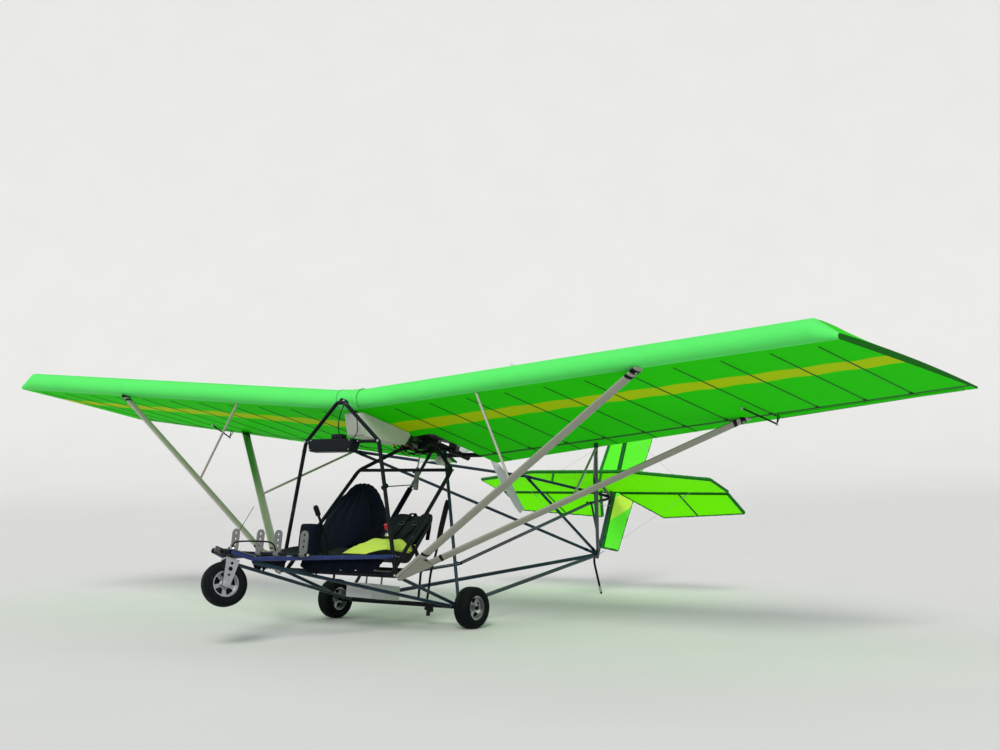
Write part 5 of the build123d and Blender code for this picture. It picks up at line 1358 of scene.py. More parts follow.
    def hanging_straps(self) -> None:
        """Loose webbing hung on the port rear leg and on the main axle."""
        at = self.at
        mesh = bmesh.new()
        aft = at(0.5, 1, 0) - at(0, 0, 0)
        line = curve_points([
            at(0.262, 0.186, 0.885), at(0.256, 0.176, 0.840), at(0.250, 0.160, 0.740), at(0.243, 0.146, 0.640), at(0.246, 0.130, 0.535),
        ], 7)
        strap(mesh, line, [aft] * len(line), 0.048)
        line = curve_points([at(0.247, 0.131, 0.560), at(0.240, 0.110, 0.420), at(0.232, 0.080, 0.270), at(0.245, 0.055, 0.110), at(0.238, 0.045, -0.045)], 8)
        strap(mesh, line, [aft] * len(line), 0.020)
        for x, low in ((0.330, -0.092), (0.362, -0.060)):
            line = curve_points([at(x, -0.006, 0.024), at(x, -0.026, 0.004), at(x + 0.004, -0.024, -0.040), at(x + 0.010, -0.030, low)], 6)
            strap(mesh, line, [at(1, 0.3, 0) - at(0, 0, 0)] * len(line), 0.036)
        self.shop.piece("loose_straps", mesh, ("webbing",))

    def curtains(self) -> None:
        """The dark cloth that hangs from both side rails beside the seats, with a ragged hem."""
        at = self.at
        rail_start, rail_end = Vector((0.160, -1.826, 0.203)), Vector((0.609, -0.798, 0.330))
        for side in Side:
            mesh = bmesh.new()
            steps, drops = 60, 10
            grids = []
            for way in (-1.0, 1.0):
                grid = []
                for k in range(steps + 1):
                    share = 0.36 + 0.60 * k / steps
                    top = rail_start.lerp(rail_end, share) - Vector((0.030, 0, 0.004))
                    hem = 0.112 + 0.016 * math.sin(k * 0.9) * math.sin(k * 0.37) + 0.008 * math.sin(k * 2.3)
                    hem *= min(1.0, 0.45 + 1.6 * math.sin(math.pi * k / steps))
                    row = []
                    for d in range(drops + 1):
                        fall = d / drops
                        sway = (0.012 * math.sin(k * 0.55) + 0.006 * math.sin(k * 1.3 + 1.0)) * fall
                        p = top + Vector((-sway - 0.016 * fall + way * 0.0007, 0.004 * math.sin(k * 0.8) * fall, -hem * fall))
                        row.append(mesh.verts.new(at(side.value * p.x, p.y, p.z)))
                    grid.append(row)
                for one, two in zip(grid, grid[1:]):
                    for d in range(drops):
                        mesh.faces.new((one[d], one[d + 1], two[d + 1], two[d]))
                grids.append(grid)
            rims = [[g[0] for g in s] + s[-1][1:] + [g[-1] for g in reversed(s[:-1])] + s[0][-2:0:-1] for s in grids]
            for k in range(len(rims[0])):
                n = (k + 1) % len(rims[0])
                mesh.faces.new((rims[0][k], rims[0][n], rims[1][n], rims[1][k]))
            curtain = self.shop.piece(f"rail_curtain_{side.word}", mesh, ("cover_black",), smooth=60.0)

    def wiring(self) -> None:
        """The fuel pump, the regulator and the loose looms between the tank and the engine."""
        at = self.at
        tilt = Matrix.Rotation(math.radians(-9.07 + 8.0), 3, "X")
        mesh = bmesh.new()
        add_box(mesh, at(0.055, 0.010, 1.322), (0.075, 0.100, 0.050), tilt, 0)
        add_box(mesh, at(-0.065, -0.030, 1.318), (0.060, 0.120, 0.060), tilt, 0)
        add_disc(mesh, at(0.060, -0.120, 1.315), at(0.060, -0.060, 1.309), 0.024, 24, 1)
        for k in range(7):
            x = -0.105 + 0.034 * k
            drop = 0.030 + 0.022 * math.sin(k * 2.4 + 0.5)
            stops = [
                at(x, -0.200 + 0.02 * math.sin(k * 3.1), 1.335), at(x + 0.012 * math.sin(k * 1.7), -0.090, 1.318 - drop),
                at(x - 0.010 * math.cos(k * 2.2), 0.050, 1.296 - drop * 0.8), at(x + 0.01, 0.180, 1.318), at(x + 0.016 * math.sin(k), 0.270, 1.372),
            ]
            add_tube(mesh, curve_points(stops, 8), 0.0040 + 0.0014 * (k % 3), 8, 2)
        for k in range(3):
            add_disc(mesh, at(0.058 - 0.05 * k, -0.160 + 0.03 * k, 1.322), at(0.058 - 0.05 * k, -0.128 + 0.03 * k, 1.317), 0.011, 16, 3)
        self.shop.piece("pump_and_looms", mesh, ("shell_black", "plate_alloy", "webbing", "brass"))

    def aerial(self) -> None:
        """The thin whip and the low foot hoop ahead of the pedals."""
        at = self.at
        mesh = bmesh.new()
        add_tube(mesh, curve_points([at(-0.440, -1.560, 0.285), at(-0.440, -1.530, 0.340), at(-0.455, -1.335, 0.645)], 6), 0.0022, 8, 0)
        add_disc(mesh, at(-0.440, -1.562, 0.270), at(-0.440, -1.555, 0.300), 0.008, 14, 0)
        hoop = [at(-0.139, -1.800, 0.232), at(-0.120, -1.800, 0.300), at(-0.060, -1.798, 0.330), at(0.180, -1.760, 0.340), at(0.263, -1.750, 0.325), at(0.300, -1.745, 0.275)]
        add_tube(mesh, curve_points(hoop, 7), 0.0065, 10, 0)
        self.shop.piece("whip_and_hoop", mesh, ("frame_black",))

    def harness(self) -> None:
        """Lap and shoulder straps on the port seat, with their buckle."""
        at, x = self.at, self.SEAT_X
        side = at(1, 0, 0) - at(0, 0, 0)
        mesh = bmesh.new()
        for sign in (-1, 1):
            stops = [
                at(x + sign * 0.228, -0.360, 0.30), at(x + sign * 0.215, -0.43, 0.430), at(x + sign * 0.14, -0.480, 0.500),
                at(x + sign * 0.045, -0.520, 0.512),
            ]
            line = curve_points(stops, 9)
            aft = at(0, 1, 0) - at(0, 0, 0)
            strap(mesh, line, [aft] * len(line), 0.045)
            stops = [
                at(x + sign * 0.075, -0.128, 0.52), at(x + sign * 0.075, -0.118, 0.66), at(x + sign * 0.075, -0.150, 0.735),
                at(x + sign * 0.075, -0.225, 0.700), at(x + sign * 0.070, -0.335, 0.588), at(x + sign * 0.050, -0.43, 0.522),
                at(x + sign * 0.022, -0.515, 0.514),
            ]
            line = curve_points(stops, 9)
            strap(mesh, line, [side] * len(line), 0.042)
            add_box(mesh, at(x + sign * 0.072, -0.292, 0.640), (0.052, 0.008, 0.034), self.seat_turn(), 1)
        add_disc(mesh, at(x, -0.524, 0.505), at(x, -0.521, 0.529), 0.027, 28, 1)
        add_disc(mesh, at(x, -0.521, 0.528), at(x, -0.520, 0.534), 0.019, 24, 1)
        self.shop.piece("harness", mesh, ("webbing", "bolt_steel"))

    def seat_turn(self) -> Matrix:
        """Turn of things that lie on the seat's back."""
        return Matrix.Rotation(math.radians(-33.0 - 9.07), 3, "X")

    def pod(self) -> None:
        """Dials, switches and bolts on the pod, its clamps, and the small lamp over it with its leads."""
        at = self.at
        mesh = bmesh.new()
        face_y = -0.882 + 0.048
        aft = at(0, 1, 0) - at(0, 0, 0)
        z = 1.198
        for x, size in ((-0.285, 0.040), (-0.175, 0.040), (-0.070, 0.028), (0.0, 0.028), (0.080, 0.034)):
            middle = at(x, face_y, z + 0.006)
            add_disc(mesh, middle - aft * 0.002, middle + aft * 0.007, size, 32, 0)
            add_disc(mesh, middle + aft * 0.0068, middle + aft * 0.008, size * 0.86, 32, 1)
            for k in range(11):
                a = math.radians(-130 + 26 * k)
                out = at(math.sin(a), 0, math.cos(a)) - at(0, 0, 0)
                tick = middle + aft * 0.0082
                add_tube(mesh, [tick + out * size * 0.66, tick + out * size * 0.8], 0.0007, 4, 2)
            a = math.radians(40 * math.sin(x * 31))
            hand = at(math.sin(a), 0, math.cos(a)) - at(0, 0, 0)
            add_tube(mesh, [middle + aft * 0.009 - hand * size * 0.1, middle + aft * 0.009 + hand * size * 0.62], 0.0011, 5, 2)
        for k in range(4):
            foot = at(0.122 + 0.016 * (k % 2), face_y, z + 0.022 - 0.026 * (k // 2))
            add_disc(mesh, foot - aft * 0.002, foot + aft * 0.005, 0.006, 12, 3)
            add_tube(mesh, [foot + aft * 0.004, foot + aft * 0.02 + (at(0, 0, 1) - at(0, 0, 0)) * 0.006], 0.0022, 8, 3)
        for dx in (-0.22, 0.22):
            for dz in (-0.038, 0.038):
                add_bolt(mesh, at(-0.09 + dx, face_y, z + dz), aft, 0.0035, 3)
                add_bolt(mesh, at(-0.09 + dx, -0.882 - 0.048, z + dz), -aft, 0.0035, 3)
        self.shop.piece("pod_dials", mesh, ("shell_black", "dial_face", "dial_mark", "bolt_steel"))
        mesh = bmesh.new()
        for x in (-0.372, 0.192):
            add_disc(mesh, at(x - 0.012, -0.882, 1.230), at(x + 0.012, -0.882, 1.230), 0.0175, 24, 0)
            add_bolt(mesh, at(x, -0.8985, 1.230), -aft, 0.004, 1)
        add_box(mesh, at(-0.035, -0.884, 1.270), (0.120, 0.060, 0.038), Matrix.Rotation(math.radians(-9.07), 3, "X"), 0)
        lead = [at(-0.030, -0.884, 1.285), at(-0.022, -0.915, 1.350), at(0.000, -0.930, 1.440), at(0.015, -0.915, 1.520)]
        add_tube(mesh, curve_points(lead, 8), 0.0042, 8, 0)
        lead = [at(0.050, -0.884, 1.252), at(0.092, -0.850, 1.262), at(0.104, -0.822, 1.330), at(0.070, -0.822, 1.460), at(0.030, -0.860, 1.515)]
        add_tube(mesh, curve_points(lead, 8), 0.0036, 8, 0)
        self.shop.piece("pod_clamps", mesh, ("shell_black", "bolt_steel"))

    def tank(self) -> None:
        """Outlet, hose and hose fitting of the tank."""
        at = self.at
        mesh = bmesh.new()
        foot = at(0.0, -0.27, 1.300)
        add_disc(mesh, foot, at(0.0, -0.27, 1.280), 0.010, 14, 2)
        hose = curve_points([at(0, -0.27, 1.282), at(0.0, -0.22, 1.255), at(-0.02, -0.05, 1.290), at(-0.03, 0.10, 1.335), at(-0.055, 0.21, 1.40)], 10)
        add_tube(mesh, hose, 0.0045, 10, 3)
        add_box(mesh, hose[24], (0.022, 0.05, 0.022), Matrix.Rotation(math.radians(12), 3, "X"), 2)
        self.shop.piece("tank_fittings", mesh, ("webbing", "bolt_steel", "brass", "shell_black"))

    def levers(self) -> None:
        """Grip ribs, the throttle lever, and the foam sleeve with its bands on the starboard rear leg."""
        at = self.at
        mesh = bmesh.new()
        low, high = at(0, -1.056, 0.614), at(0, -1.096, 0.676)
        way = (high - low).normalized()
        for k in range(9):
            middle = low + (high - low) * (k + 0.5) / 9
            add_disc(mesh, middle - way * 0.0035, middle + way * 0.0035, 0.0215, 20, 0)
        add_disc(mesh, high, high + way * 0.010, 0.016, 18, 0)
        foot, knob = at(0.502, -0.660, 0.335), at(0.502, -0.785, 0.545)
        add_tube(mesh, [foot, knob], 0.006, 10, 2)
        add_disc(mesh, knob, knob + (knob - foot).normalized() * 0.042, 0.017, 20, 1)
        add_box(mesh, at(0.502, -0.650, 0.318), (0.016, 0.07, 0.05), None, 2)
        self.shop.piece("lever_grips", mesh, ("shell_black", "red_plastic", "bolt_steel"))
        mesh = bmesh.new()
        low, high = Vector((-0.64, 0, 0)), Vector((-0.07, 0.3, 1.341))
        line = [low.lerp(high, 0.40 + 0.34 * k / 16) for k in range(17)]
        add_tube(mesh, [at(*p) for p in line], 0.0235, 18, 0)
        for share in (0.405, 0.57, 0.735):
            a, b = low.lerp(high, share - 0.003), low.lerp(high, share + 0.003)
            add_tube(mesh, [at(*a), at(*b)], 0.0248, 18, 1)
        self.shop.piece("leg_foam", mesh, ("cover_black", "webbing"))


# The engine and the propeller


class Engine:
    """Fittings of the twin-cylinder engine and of the propeller."""

    def __init__(self, shop: Workshop) -> None:
        """Keeps the workshop and its ship frame."""
        self.shop = shop
        self.at = shop.ship.at

    def build(self) -> None:
        """Makes the intakes, plugs, leads, starter, mounts and the hub's bolts."""
        self.intakes()
        self.ignition()
        self.starter()
        self.bolts()
        self.hub()

    def intakes(self) -> None:
        """Two carburettors with pleated cone filters on the port side."""
        at = self.at
        mesh = bmesh.new()
        left = (at(1, 0, 0) - at(0, 0, 0)).normalized()
        for y in (0.280, 0.455):
            foot = at(0.095, y, 1.520)
            add_disc(mesh, foot, foot + left * 0.022, 0.024, 24, 0)
            add_disc(mesh, foot + left * 0.020, foot + left * 0.072, 0.020, 24, 1)
            bowl = foot + left * 0.046
            up = (at(0, 0, 1) - at(0, 0, 0)).normalized()
            add_disc(mesh, bowl - up * 0.055, bowl - up * 0.012, 0.019, 24, 1)
            add_disc(mesh, bowl + up * 0.012, bowl + up * 0.060, 0.014, 24, 1)
            add_tube(mesh, curve_points([bowl + up * 0.058, bowl + up * 0.10 + left * 0.01, at(0.06, y - 0.18, 1.60), at(0.03, -0.02, 1.505), at(0.03, -0.12, 1.48)], 8), 0.0028, 8, 0)
            start = foot + left * 0.072
            rows = []
            for k in range(13):
                t = k / 12
                size = 0.031 - 0.009 * t
                row = []
                for j in range(60):
                    a = 2 * math.pi * j / 60
                    pleat = 0.0018 if j % 2 else -0.0012
                    if k in (0, 12):
                        pleat = 0.001
                    aside = (at(0, math.cos(a), math.sin(a)) - at(0, 0, 0)) * (size + pleat)
                    row.append(mesh.verts.new(start + left * (0.085 * t) + aside))
                rows.append(row)
            for one, two in zip(rows, rows[1:]):
                for j in range(60):
                    mesh.faces.new((one[j], one[(j + 1) % 60], two[(j + 1) % 60], two[j])).material_index = 2
            for row in (rows[0], rows[-1]):
                mesh.faces.new(row).material_index = 0
            add_disc(mesh, start + left * 0.084, start + left * 0.092, 0.0235, 28, 0)
        self.shop.piece("intakes", mesh, ("shell_black", "cast_alloy", "red_plastic"))

    def ignition(self) -> None:
        """Plugs in the heads, their caps and leads."""
        at = self.at
        mesh = bmesh.new()
        top = 1.555 + 0.136 + 0.026
        for y in (0.280, 0.455):
            for x in (-0.022, 0.022):
                foot = at(x, y, top)
                up = (at(0, 0, 1) - at(0, 0, 0)).normalized()
                add_disc(mesh, foot - up * 0.001, foot + up * 0.008, 0.010, 6, 1)
                add_disc(mesh, foot + up * 0.007, foot + up * 0.030, 0.0075, 16, 0)
                line = curve_points([foot + up * 0.028, foot + up * 0.040 + (at(0, -0.03, 0) - at(0, 0, 0)), at(x * 2, y - 0.09, 1.66), at(0.05 if x > 0 else -0.05, 0.16, 1.58), at(0.02 if x > 0 else -0.02, 0.13, 1.52)], 8)
                add_tube(mesh, line, 0.0035, 8, 0)
            for dx in (-0.034, 0.034):
                for dy in (-0.034, 0.034):
                    add_bolt(mesh, at(dx, y + dy, top), at(0, 0, 1) - at(0, 0, 0), 0.006, 1)
        self.shop.piece("ignition", mesh, ("shell_black", "bolt_steel"))

    def starter(self) -> None:
        """The round recoil housing in front of the crankcase, with slots and its handle."""
        at = self.at
        mesh = bmesh.new()
        aft = (at(0, 1, 0) - at(0, 0, 0)).normalized()
        face = at(0, 0.180, 1.490)
        add_disc(mesh, face - aft * 0.050, face + aft * 0.004, 0.074, 40, 0)
        add_disc(mesh, face - aft * 0.060, face - aft * 0.048, 0.040, 32, 1)
        for k in range(16):
            a = 2 * math.pi * k / 16
            out = at(math.cos(a), 0, math.sin(a)) - at(0, 0, 0)
            add_tube(mesh, [face - aft * 0.0505 + out * 0.046, face - aft * 0.0505 + out * 0.068], 0.0032, 6, 1)
        for k in range(4):
            a = math.pi / 4 + math.pi / 2 * k
            out = at(math.cos(a), 0, math.sin(a)) - at(0, 0, 0)
            add_bolt(mesh, face - aft * 0.050 + out * 0.058, -aft, 0.005, 2)
        grip = at(0.0, 0.06, 1.42)
        add_tube(mesh, curve_points([face - aft * 0.055 - (at(0, 0, 0.03) - at(0, 0, 0)), at(0, 0.10, 1.44), grip], 8), 0.002, 6, 1)
        add_tube(mesh, [grip - (at(0.045, 0, 0) - at(0, 0, 0)), grip + (at(0.045, 0, 0) - at(0, 0, 0))], 0.009, 12, 1)
        self.shop.piece("starter", mesh, ("engine_alloy", "shell_black", "bolt_steel"))

    def bolts(self) -> None:
        """Case seam, case bolts, rubber mounts and the silencer's springs and bands."""
        at = self.at
        mesh = bmesh.new()
        for side in (-1, 1):
            out = at(side, 0, 0) - at(0, 0, 0)
            add_tube(mesh, [at(side * 0.0945, 0.20, 1.490), at(side * 0.0945, 0.55, 1.490)], 0.0022, 6, 0)
            for y in (0.21, 0.30, 0.375, 0.45, 0.54):
                for z in (1.472, 1.508):
                    add_bolt(mesh, at(side * 0.0945, y, z), out, 0.0045, 1)
            for y in (0.250, 0.500):
                add_bolt(mesh, at(side * 0.042, y, 1.405), out, 0.008, 1)
        for y in (0.20, 0.34, 0.48):
            ring = [at(-0.170 + 0.0492 * math.cos(a), y, 1.5 + 0.0492 * math.sin(a)) for a in (2 * math.pi * k / 28 for k in range(29))]
            add_tube(mesh, ring, 0.0022, 6, 1)
        for y in (0.262, 0.298, 0.437, 0.473):
            line = []
            for k in range(90):
                t = k / 89
                a = t * 2 * math.pi * 11
                line.append(at(-0.100 - 0.036 * t, y + 0.004 * math.cos(a), 1.524 + 0.004 * math.sin(a)))
            add_tube(mesh, line, 0.0009, 5, 1)
        self.shop.piece("engine_bolts", mesh, ("engine_alloy", "bolt_steel"))

    def hub(self) -> None:
        """Hub bolts and a dark ring round each blade's root."""
        at = self.at
        mesh = bmesh.new()
        aft = (at(0, 1, 0) - at(0, 0, 0)).normalized()
        face = at(0, 0.930, 1.472)
        for k in range(6):
            a = math.radians(50 + 60 * k)
            out = at(math.cos(a), 0, math.sin(a)) - at(0, 0, 0)
            add_bolt(mesh, face + out * 0.038, aft, 0.006, 0)
        for angle in (20.0, 140.0, 260.0):
            a = math.radians(angle)
            out = at(math.sin(a), 0, math.cos(a)) - at(0, 0, 0)
            middle = at(0, 0.902, 1.472)
            add_tube(mesh, [middle + out * 0.058, middle + out * 0.066], 0.031, 24, 1)
        self.shop.piece("hub_bolts", mesh, ("bolt_steel", "shell_black"), "propeller")


# Running gear, frame fittings and cables


class RunningGear:
    """Bolts, valves, caps and tyre mouldings of the three wheels, and the steering head."""

    # Radius and offset of the dark disc inside each wheel, painted shade seen between the spokes.
    DISC = ((0.030, 0.0012), (0.0875, 0.0012), (0.0875, -0.0012), (0.030, -0.0012))

    def __init__(self, shop: Workshop) -> None:
        """Keeps the workshop."""
        self.shop = shop
        self.at = shop.ship.at

    def build(self) -> None:
        """Makes the fittings of each wheel."""
        x = (self.at(1, 0, 0) - self.at(0, 0, 0)).normalized()
        self.wheel("port", self.at(0.775, 0, 0), x, "port_wheel", 0.1675)
        self.wheel("starboard", self.at(-0.775, 0, 0), x, "starboard_wheel", 0.1675)
        turned = Matrix.Rotation(math.radians(-28.0), 3, self.shop.ship.turn(Vector((0, 0.192935, 0.981212))))
        self.wheel("nose", self.at(0, -1.948, 0), turned @ x, "nose_wheel", 0.1675)
        self.head(turned)

    def wheel(self, word: str, centre: Vector, axle: Vector, body: str, radius: float) -> None:
        """Tyre mouldings, hub bolts, valve and the dark disc of painted shade inside the rim of one wheel.

        Args:
            word: ending of the pieces' names.
            centre: wheel's centre.
            axle: direction of its axle.
            body: the body it turns with.
            radius: outer radius of the tyre.
        """
        axle = axle.normalized()
        spare = Vector((0, 0, 1))
        one = (spare - axle * spare.dot(axle)).normalized()
        two = axle.cross(one)

        def rim(r: float, off: float, a: float) -> Vector:
            return centre + axle * off + (one * math.cos(a) + two * math.sin(a)) * r

        mesh = bmesh.new()
        for side in (-1, 1):
            for r, off, thick in ((0.138, 0.0645, 0.0022), (0.116, 0.0605, 0.0018)):
                ring = [rim(r, side * off, 2 * math.pi * k / 72) for k in range(73)]
                add_tube(mesh, ring, thick, 6)
        for off in (-0.030, -0.010, 0.010, 0.030):
            grow = radius - 0.0004 - 0.0085 * (abs(off) / 0.030) ** 2
            ring = [rim(grow, off, 2 * math.pi * k / 96) for k in range(97)]
            add_tube(mesh, ring, 0.0021, 6)
        self.shop.piece(f"tyre_ribs_{word}", mesh, ("tyre_rubber",), body)
        mesh = bmesh.new()
        for side in (-1, 1):
            for k in range(5):
                a = 2 * math.pi * (k + 0.5) / 5
                add_bolt(mesh, rim(0.036, side * 0.030, a), axle * side, 0.0045, 0)
        foot = rim(0.083, 0.020, 2.2)
        add_tube(mesh, [foot, rim(0.070, 0.034, 2.2)], 0.0042, 10, 1)
        add_tube(mesh, [rim(0.070, 0.034, 2.2), rim(0.065, 0.040, 2.2)], 0.0032, 8, 0)
        # A near-black disc inside the rim paints the shade seen through the spoke windows.
        self.panel(mesh, [[rim(r, off, 2 * math.pi * k / 48) for k in range(48)] for r, off in self.DISC])
        self.shop.piece(f"wheel_fittings_{word}", mesh, ("bolt_steel", "shell_black"), body)

    def panel(self, mesh: bmesh.types.BMesh, rings: list[list[Vector]]) -> None:
        """A dark disc behind the spokes: painted shade for the shaded inside of the wheel, standing partly for the
        rim's inner web.
        """
        loops = [[mesh.verts.new(p) for p in ring] for ring in rings]
        for one, two in zip(loops, loops[1:] + loops[:1]):
            for k in range(len(one)):
                n = (k + 1) % len(one)
                mesh.faces.new((one[k], one[n], two[n], two[k])).material_index = 1

    def head(self, turned: Matrix) -> None:
        """Bolts of the nose plate."""
        at = self.at
        mesh = bmesh.new()
        up = at(0, 0, 1) - at(0, 0, 0)
        for x in (-0.072, 0.072):
            for y in (-1.985, -1.90):
                add_bolt(mesh, at(x, y, 0.262 if y < -1.95 else 0.252), up, 0.007, 0)
        self.shop.piece("head_bolts", mesh, ("bolt_steel",))


class StrutFittings:
    """End fittings, pins and collars of the lift struts."""

    def __init__(self, shop: Workshop) -> None:
        """Keeps the workshop."""
        self.shop = shop
        self.at = shop.ship.at

    def build(self) -> None:
        """Makes the fittings of both sides."""
        at = self.at
        for side in Side:
            s = side.value
            mesh = bmesh.new()
            foot = Vector((679.0, -783.0, 176.0))
            for top, chord in ((front_spar(2860.0), rear_spar(2860.0)), (rear_spar(2860.0), front_spar(2860.0))):
                way = (top - foot).normalized()
                normal = way.cross(chord - foot).normalized()
                across = way.cross(normal)
                for start, end, grow in ((0.982, 0.9965, 2.2), (0.962, 0.972, 1.2), (0.118, 0.126, 1.4)):
                    rows = []
                    for share in (start, end):
                        middle = foot.lerp(top, share)
                        row = []
                        for k in range(28):
                            a = 2 * math.pi * k / 28
                            p = middle + across * (math.cos(a) * (46 + grow)) + normal * (math.sin(a) * (16 + grow))
                            row.append(mesh.verts.new(at(s * p.x / 1000, p.y / 1000, p.z / 1000)))
                        rows.append(row)
                    for k in range(28):
                        mesh.faces.new((rows[0][k], rows[0][(k + 1) % 28], rows[1][(k + 1) % 28], rows[1][k])).material_index = 0
                    for row in rows:
                        mesh.faces.new(row).material_index = 0
                pin = foot.lerp(top, 0.989)
                for sign in (-1, 1):
                    p = pin + normal * sign * 18.5
                    q = at(s * p.x / 1000, p.y / 1000, p.z / 1000)
                    n = self.shop.ship.turn(Vector((s * normal.x, normal.y, normal.z)) * sign)
                    add_bolt(mesh, q, n, 0.008, 1)
            self.shop.piece(f"strut_ends_{side.word}", mesh, ("frame_black", "bolt_steel"))


class FrameFittings:
    """Bolts, clamps, cables and small fittings of the tube frame."""

    JOINTS = (
        ((0.0, -935.0, 1555.0), (1, 0, 0), 30.0), ((413.0, -882.0, 1230.0), (0, -1, 0), 17.0),
        ((640.0, -785.0, 185.0), (0, -1, 0), 20.0), ((609.0, -798.0, 330.0), (0, -1, 0), 18.0),
        ((100.0, -2004.0, 238.0), (0, 0, 1), 18.0), ((160.0, -1826.0, 203.0), (0, 0, 1), 18.0),
        ((560.0, 0.0, 0.0), (0, -1, 0), 20.0), ((600.0, 0.0, 0.0), (0, 1, 0), 20.0),
        ((530.0, -114.0, 1103.0), (0, 1, 0), 17.0), ((112.0, 94.0, 1370.0), (0, 0, -1), 15.0),
        ((408.0, 2055.0, 1341.0), (0, 0, 1), 15.0), ((1397.0, 680.0, 1396.0), (0, 1, 0), 18.5),
        ((500.0, -330.0, 257.0), (0, -1, 0), 15.0), ((450.0, -1550.0, 265.0), (0, -1, 0), 11.0),
    )

    def __init__(self, shop: Workshop) -> None:
        """Keeps the workshop."""
        self.shop = shop
        self.at = shop.ship.at

    def build(self) -> None:
        """Makes joint bolts, collars and the trays' clamps."""
        at = self.at
        mesh = bmesh.new()
        for point, way, off in self.JOINTS:
            for sign in ((-1, 1) if point[0] else (1,)):
                p = Vector((sign * point[0], point[1], point[2])) / 1000
                n = Vector((sign * way[0], way[1], way[2]))
                add_bolt(mesh, at(*(p + n * (off / 1000 - 0.0015))), self.shop.ship.turn(n), 0.0075, 0)
        self.shop.piece("frame_bolts", mesh, ("bolt_steel",))
        mesh = bmesh.new()
        for sign in (-1, 1):
            for start, end, shares, radius in (
                ((600, 0, 0), (0, 2773, 665), (0.02, 0.965), 18.4), ((640, 0, 0), (70, 300, 1341), (0.04, 0.95), 15.4),
                ((1397, 680, 1396), (408, 2055, 1341), (0.03, 0.97), 15.4), ((1397, 680, 1396), (0, 2773, 665), (0.03, 0.95), 15.4),
                ((408, 2055, 1341), (0, 2773, 665), (0.05, 0.93), 15.4), ((408, 2055, 1341), (0, 2918, 1250), (0.04, 0.94), 15.4),
                ((640, -785, 185), (413, -882, 1230), (0.10, 0.93), 17.4), ((588, -785, 185), (530, -114, 1103), (0.06, 0.94), 17.4),
            ):
                a, b = Vector((sign * start[0], *start[1:])), Vector((sign * end[0], *end[1:]))
                length = (b - a).length
                for share in shares:
                    one, two = a.lerp(b, share - 18 / length), a.lerp(b, share + 18 / length)
                    add_disc(mesh, at(*(one / 1000)), at(*(two / 1000)), radius / 1000, 24, 0)
        for y in (-0.480, -0.220):
            add_disc(mesh, at(-0.019, y, 0.250), at(0.019, y, 0.250), 0.004, 12, 1)
        self.shop.piece("frame_collars", mesh, ("frame_black", "bolt_steel"))
        self.cables()
        self.skid_shoe()

    def cables(self) -> None:
        """Control cables to the tail and the aileron push rods along the struts."""
        at = self.at
        mesh = bmesh.new()
        for sign in (-1, 1):
            off = sign * 0.024
            line = [at(off, -0.70, 0.200), at(off, 0.110, 0.277), at(off, 0.700, 0.394), at(off, 2.559, 1.147), at(off, 2.90, 1.160)]
            for a, b in zip(line, line[1:]):
                add_tube(mesh, [a, b], 0.0013, 6, 0)
            for p in line[1:4]:
                add_disc(mesh, p - Vector((sign * 0.011, 0, 0)), p + Vector((sign * 0.002, 0, 0)), 0.015, 20, 1)
            hinge_end = rear_spar(3114.0) + Vector((0, 23, -72))
            rod = [Vector((3000.0, 280.0, 1614.0)), hinge_end]
            add_tube(mesh, [at(sign * p.x / 1000, p.y / 1000, p.z / 1000) for p in rod], 0.0068, 10, 1)
            for p in rod:
                q = at(sign * p.x / 1000, p.y / 1000, p.z / 1000)
                add_disc(mesh, q - Vector((0, 0, 0.012)), q + Vector((0, 0, 0.012)), 0.010, 14, 0)
        self.shop.piece("control_cables", mesh, ("bolt_steel", "shell_black"))
        mesh = bmesh.new()
        can = at(0.0, 0.050, 1.050)
        up = (at(0, 0, 1) - at(0, 0, 0)).normalized()
        add_disc(mesh, can - up * 0.093, can + up * 0.085, 0.0215, 28, 0)
        add_disc(mesh, can + up * 0.084, can + up * 0.100, 0.013, 20, 0)
        add_disc(mesh, can + up * 0.060 - Vector((0.045, 0, 0)), can + up * 0.060 - Vector((0.015, 0, 0)), 0.012, 18, 3)
        add_tube(mesh, [can + up * 0.098, at(0.0, 0.080, 1.356)], 0.006, 10, 1)
        add_tube(mesh, [can - up * 0.048 + Vector((0.020, 0, 0)), at(0.480, -0.846, 0.870)], 0.0052, 10, 0)
        add_disc(mesh, at(0.470, -0.846, 0.855), at(0.512, -0.846, 0.885), 0.021, 20, 3)
        for k in (-0.07, 0.06):
            ring = [can + up * k + (at(math.cos(a), math.sin(a), 0) - at(0, 0, 0)) * 0.022 for a in (2 * math.pi * j / 24 for j in range(25))]
            add_tube(mesh, ring, 0.0018, 6, 2)
        self.shop.piece("cooler_can", mesh, ("plate_alloy", "strut_alloy", "bolt_steel", "shell_black"))
        mesh = bmesh.new()
        middle = at(0.0, 0.368, 1.250)
        bmesh.ops.create_uvsphere(mesh, u_segments=36, v_segments=22, radius=1.0)
        for vert in mesh.verts:
            x, y, z = (math.copysign(abs(c) ** 0.82, c) for c in vert.co)
            vert.co = middle + (at(x * 0.046, y * 0.088, z * 0.040) - at(0, 0, 0))
        add_tube(mesh, [at(0.0, 0.300, 1.285), at(0.0, 0.296, 1.335)], 0.010, 12, 1)
        add_tube(mesh, [at(0.0, 0.440, 1.280), at(0.0, 0.444, 1.335)], 0.006, 12, 1)
        self.shop.piece("overflow_bottle", mesh, ("tank_white", "shell_black"))

    def skid_shoe(self) -> None:
        """The wearing shoe under the tail skid's end."""
        mesh = bmesh.new()
        low = self.at(0.0, 2.873, 0.300)
        high = self.at(0.0, 2.829, 0.381)
        way = (high - low).normalized()
        add_disc(mesh, low + way * 0.012, low + way * 0.070, 0.0135, 20, 0)
        self.shop.piece("skid_shoe", mesh, ("bolt_steel",))


# Stage, light and camera


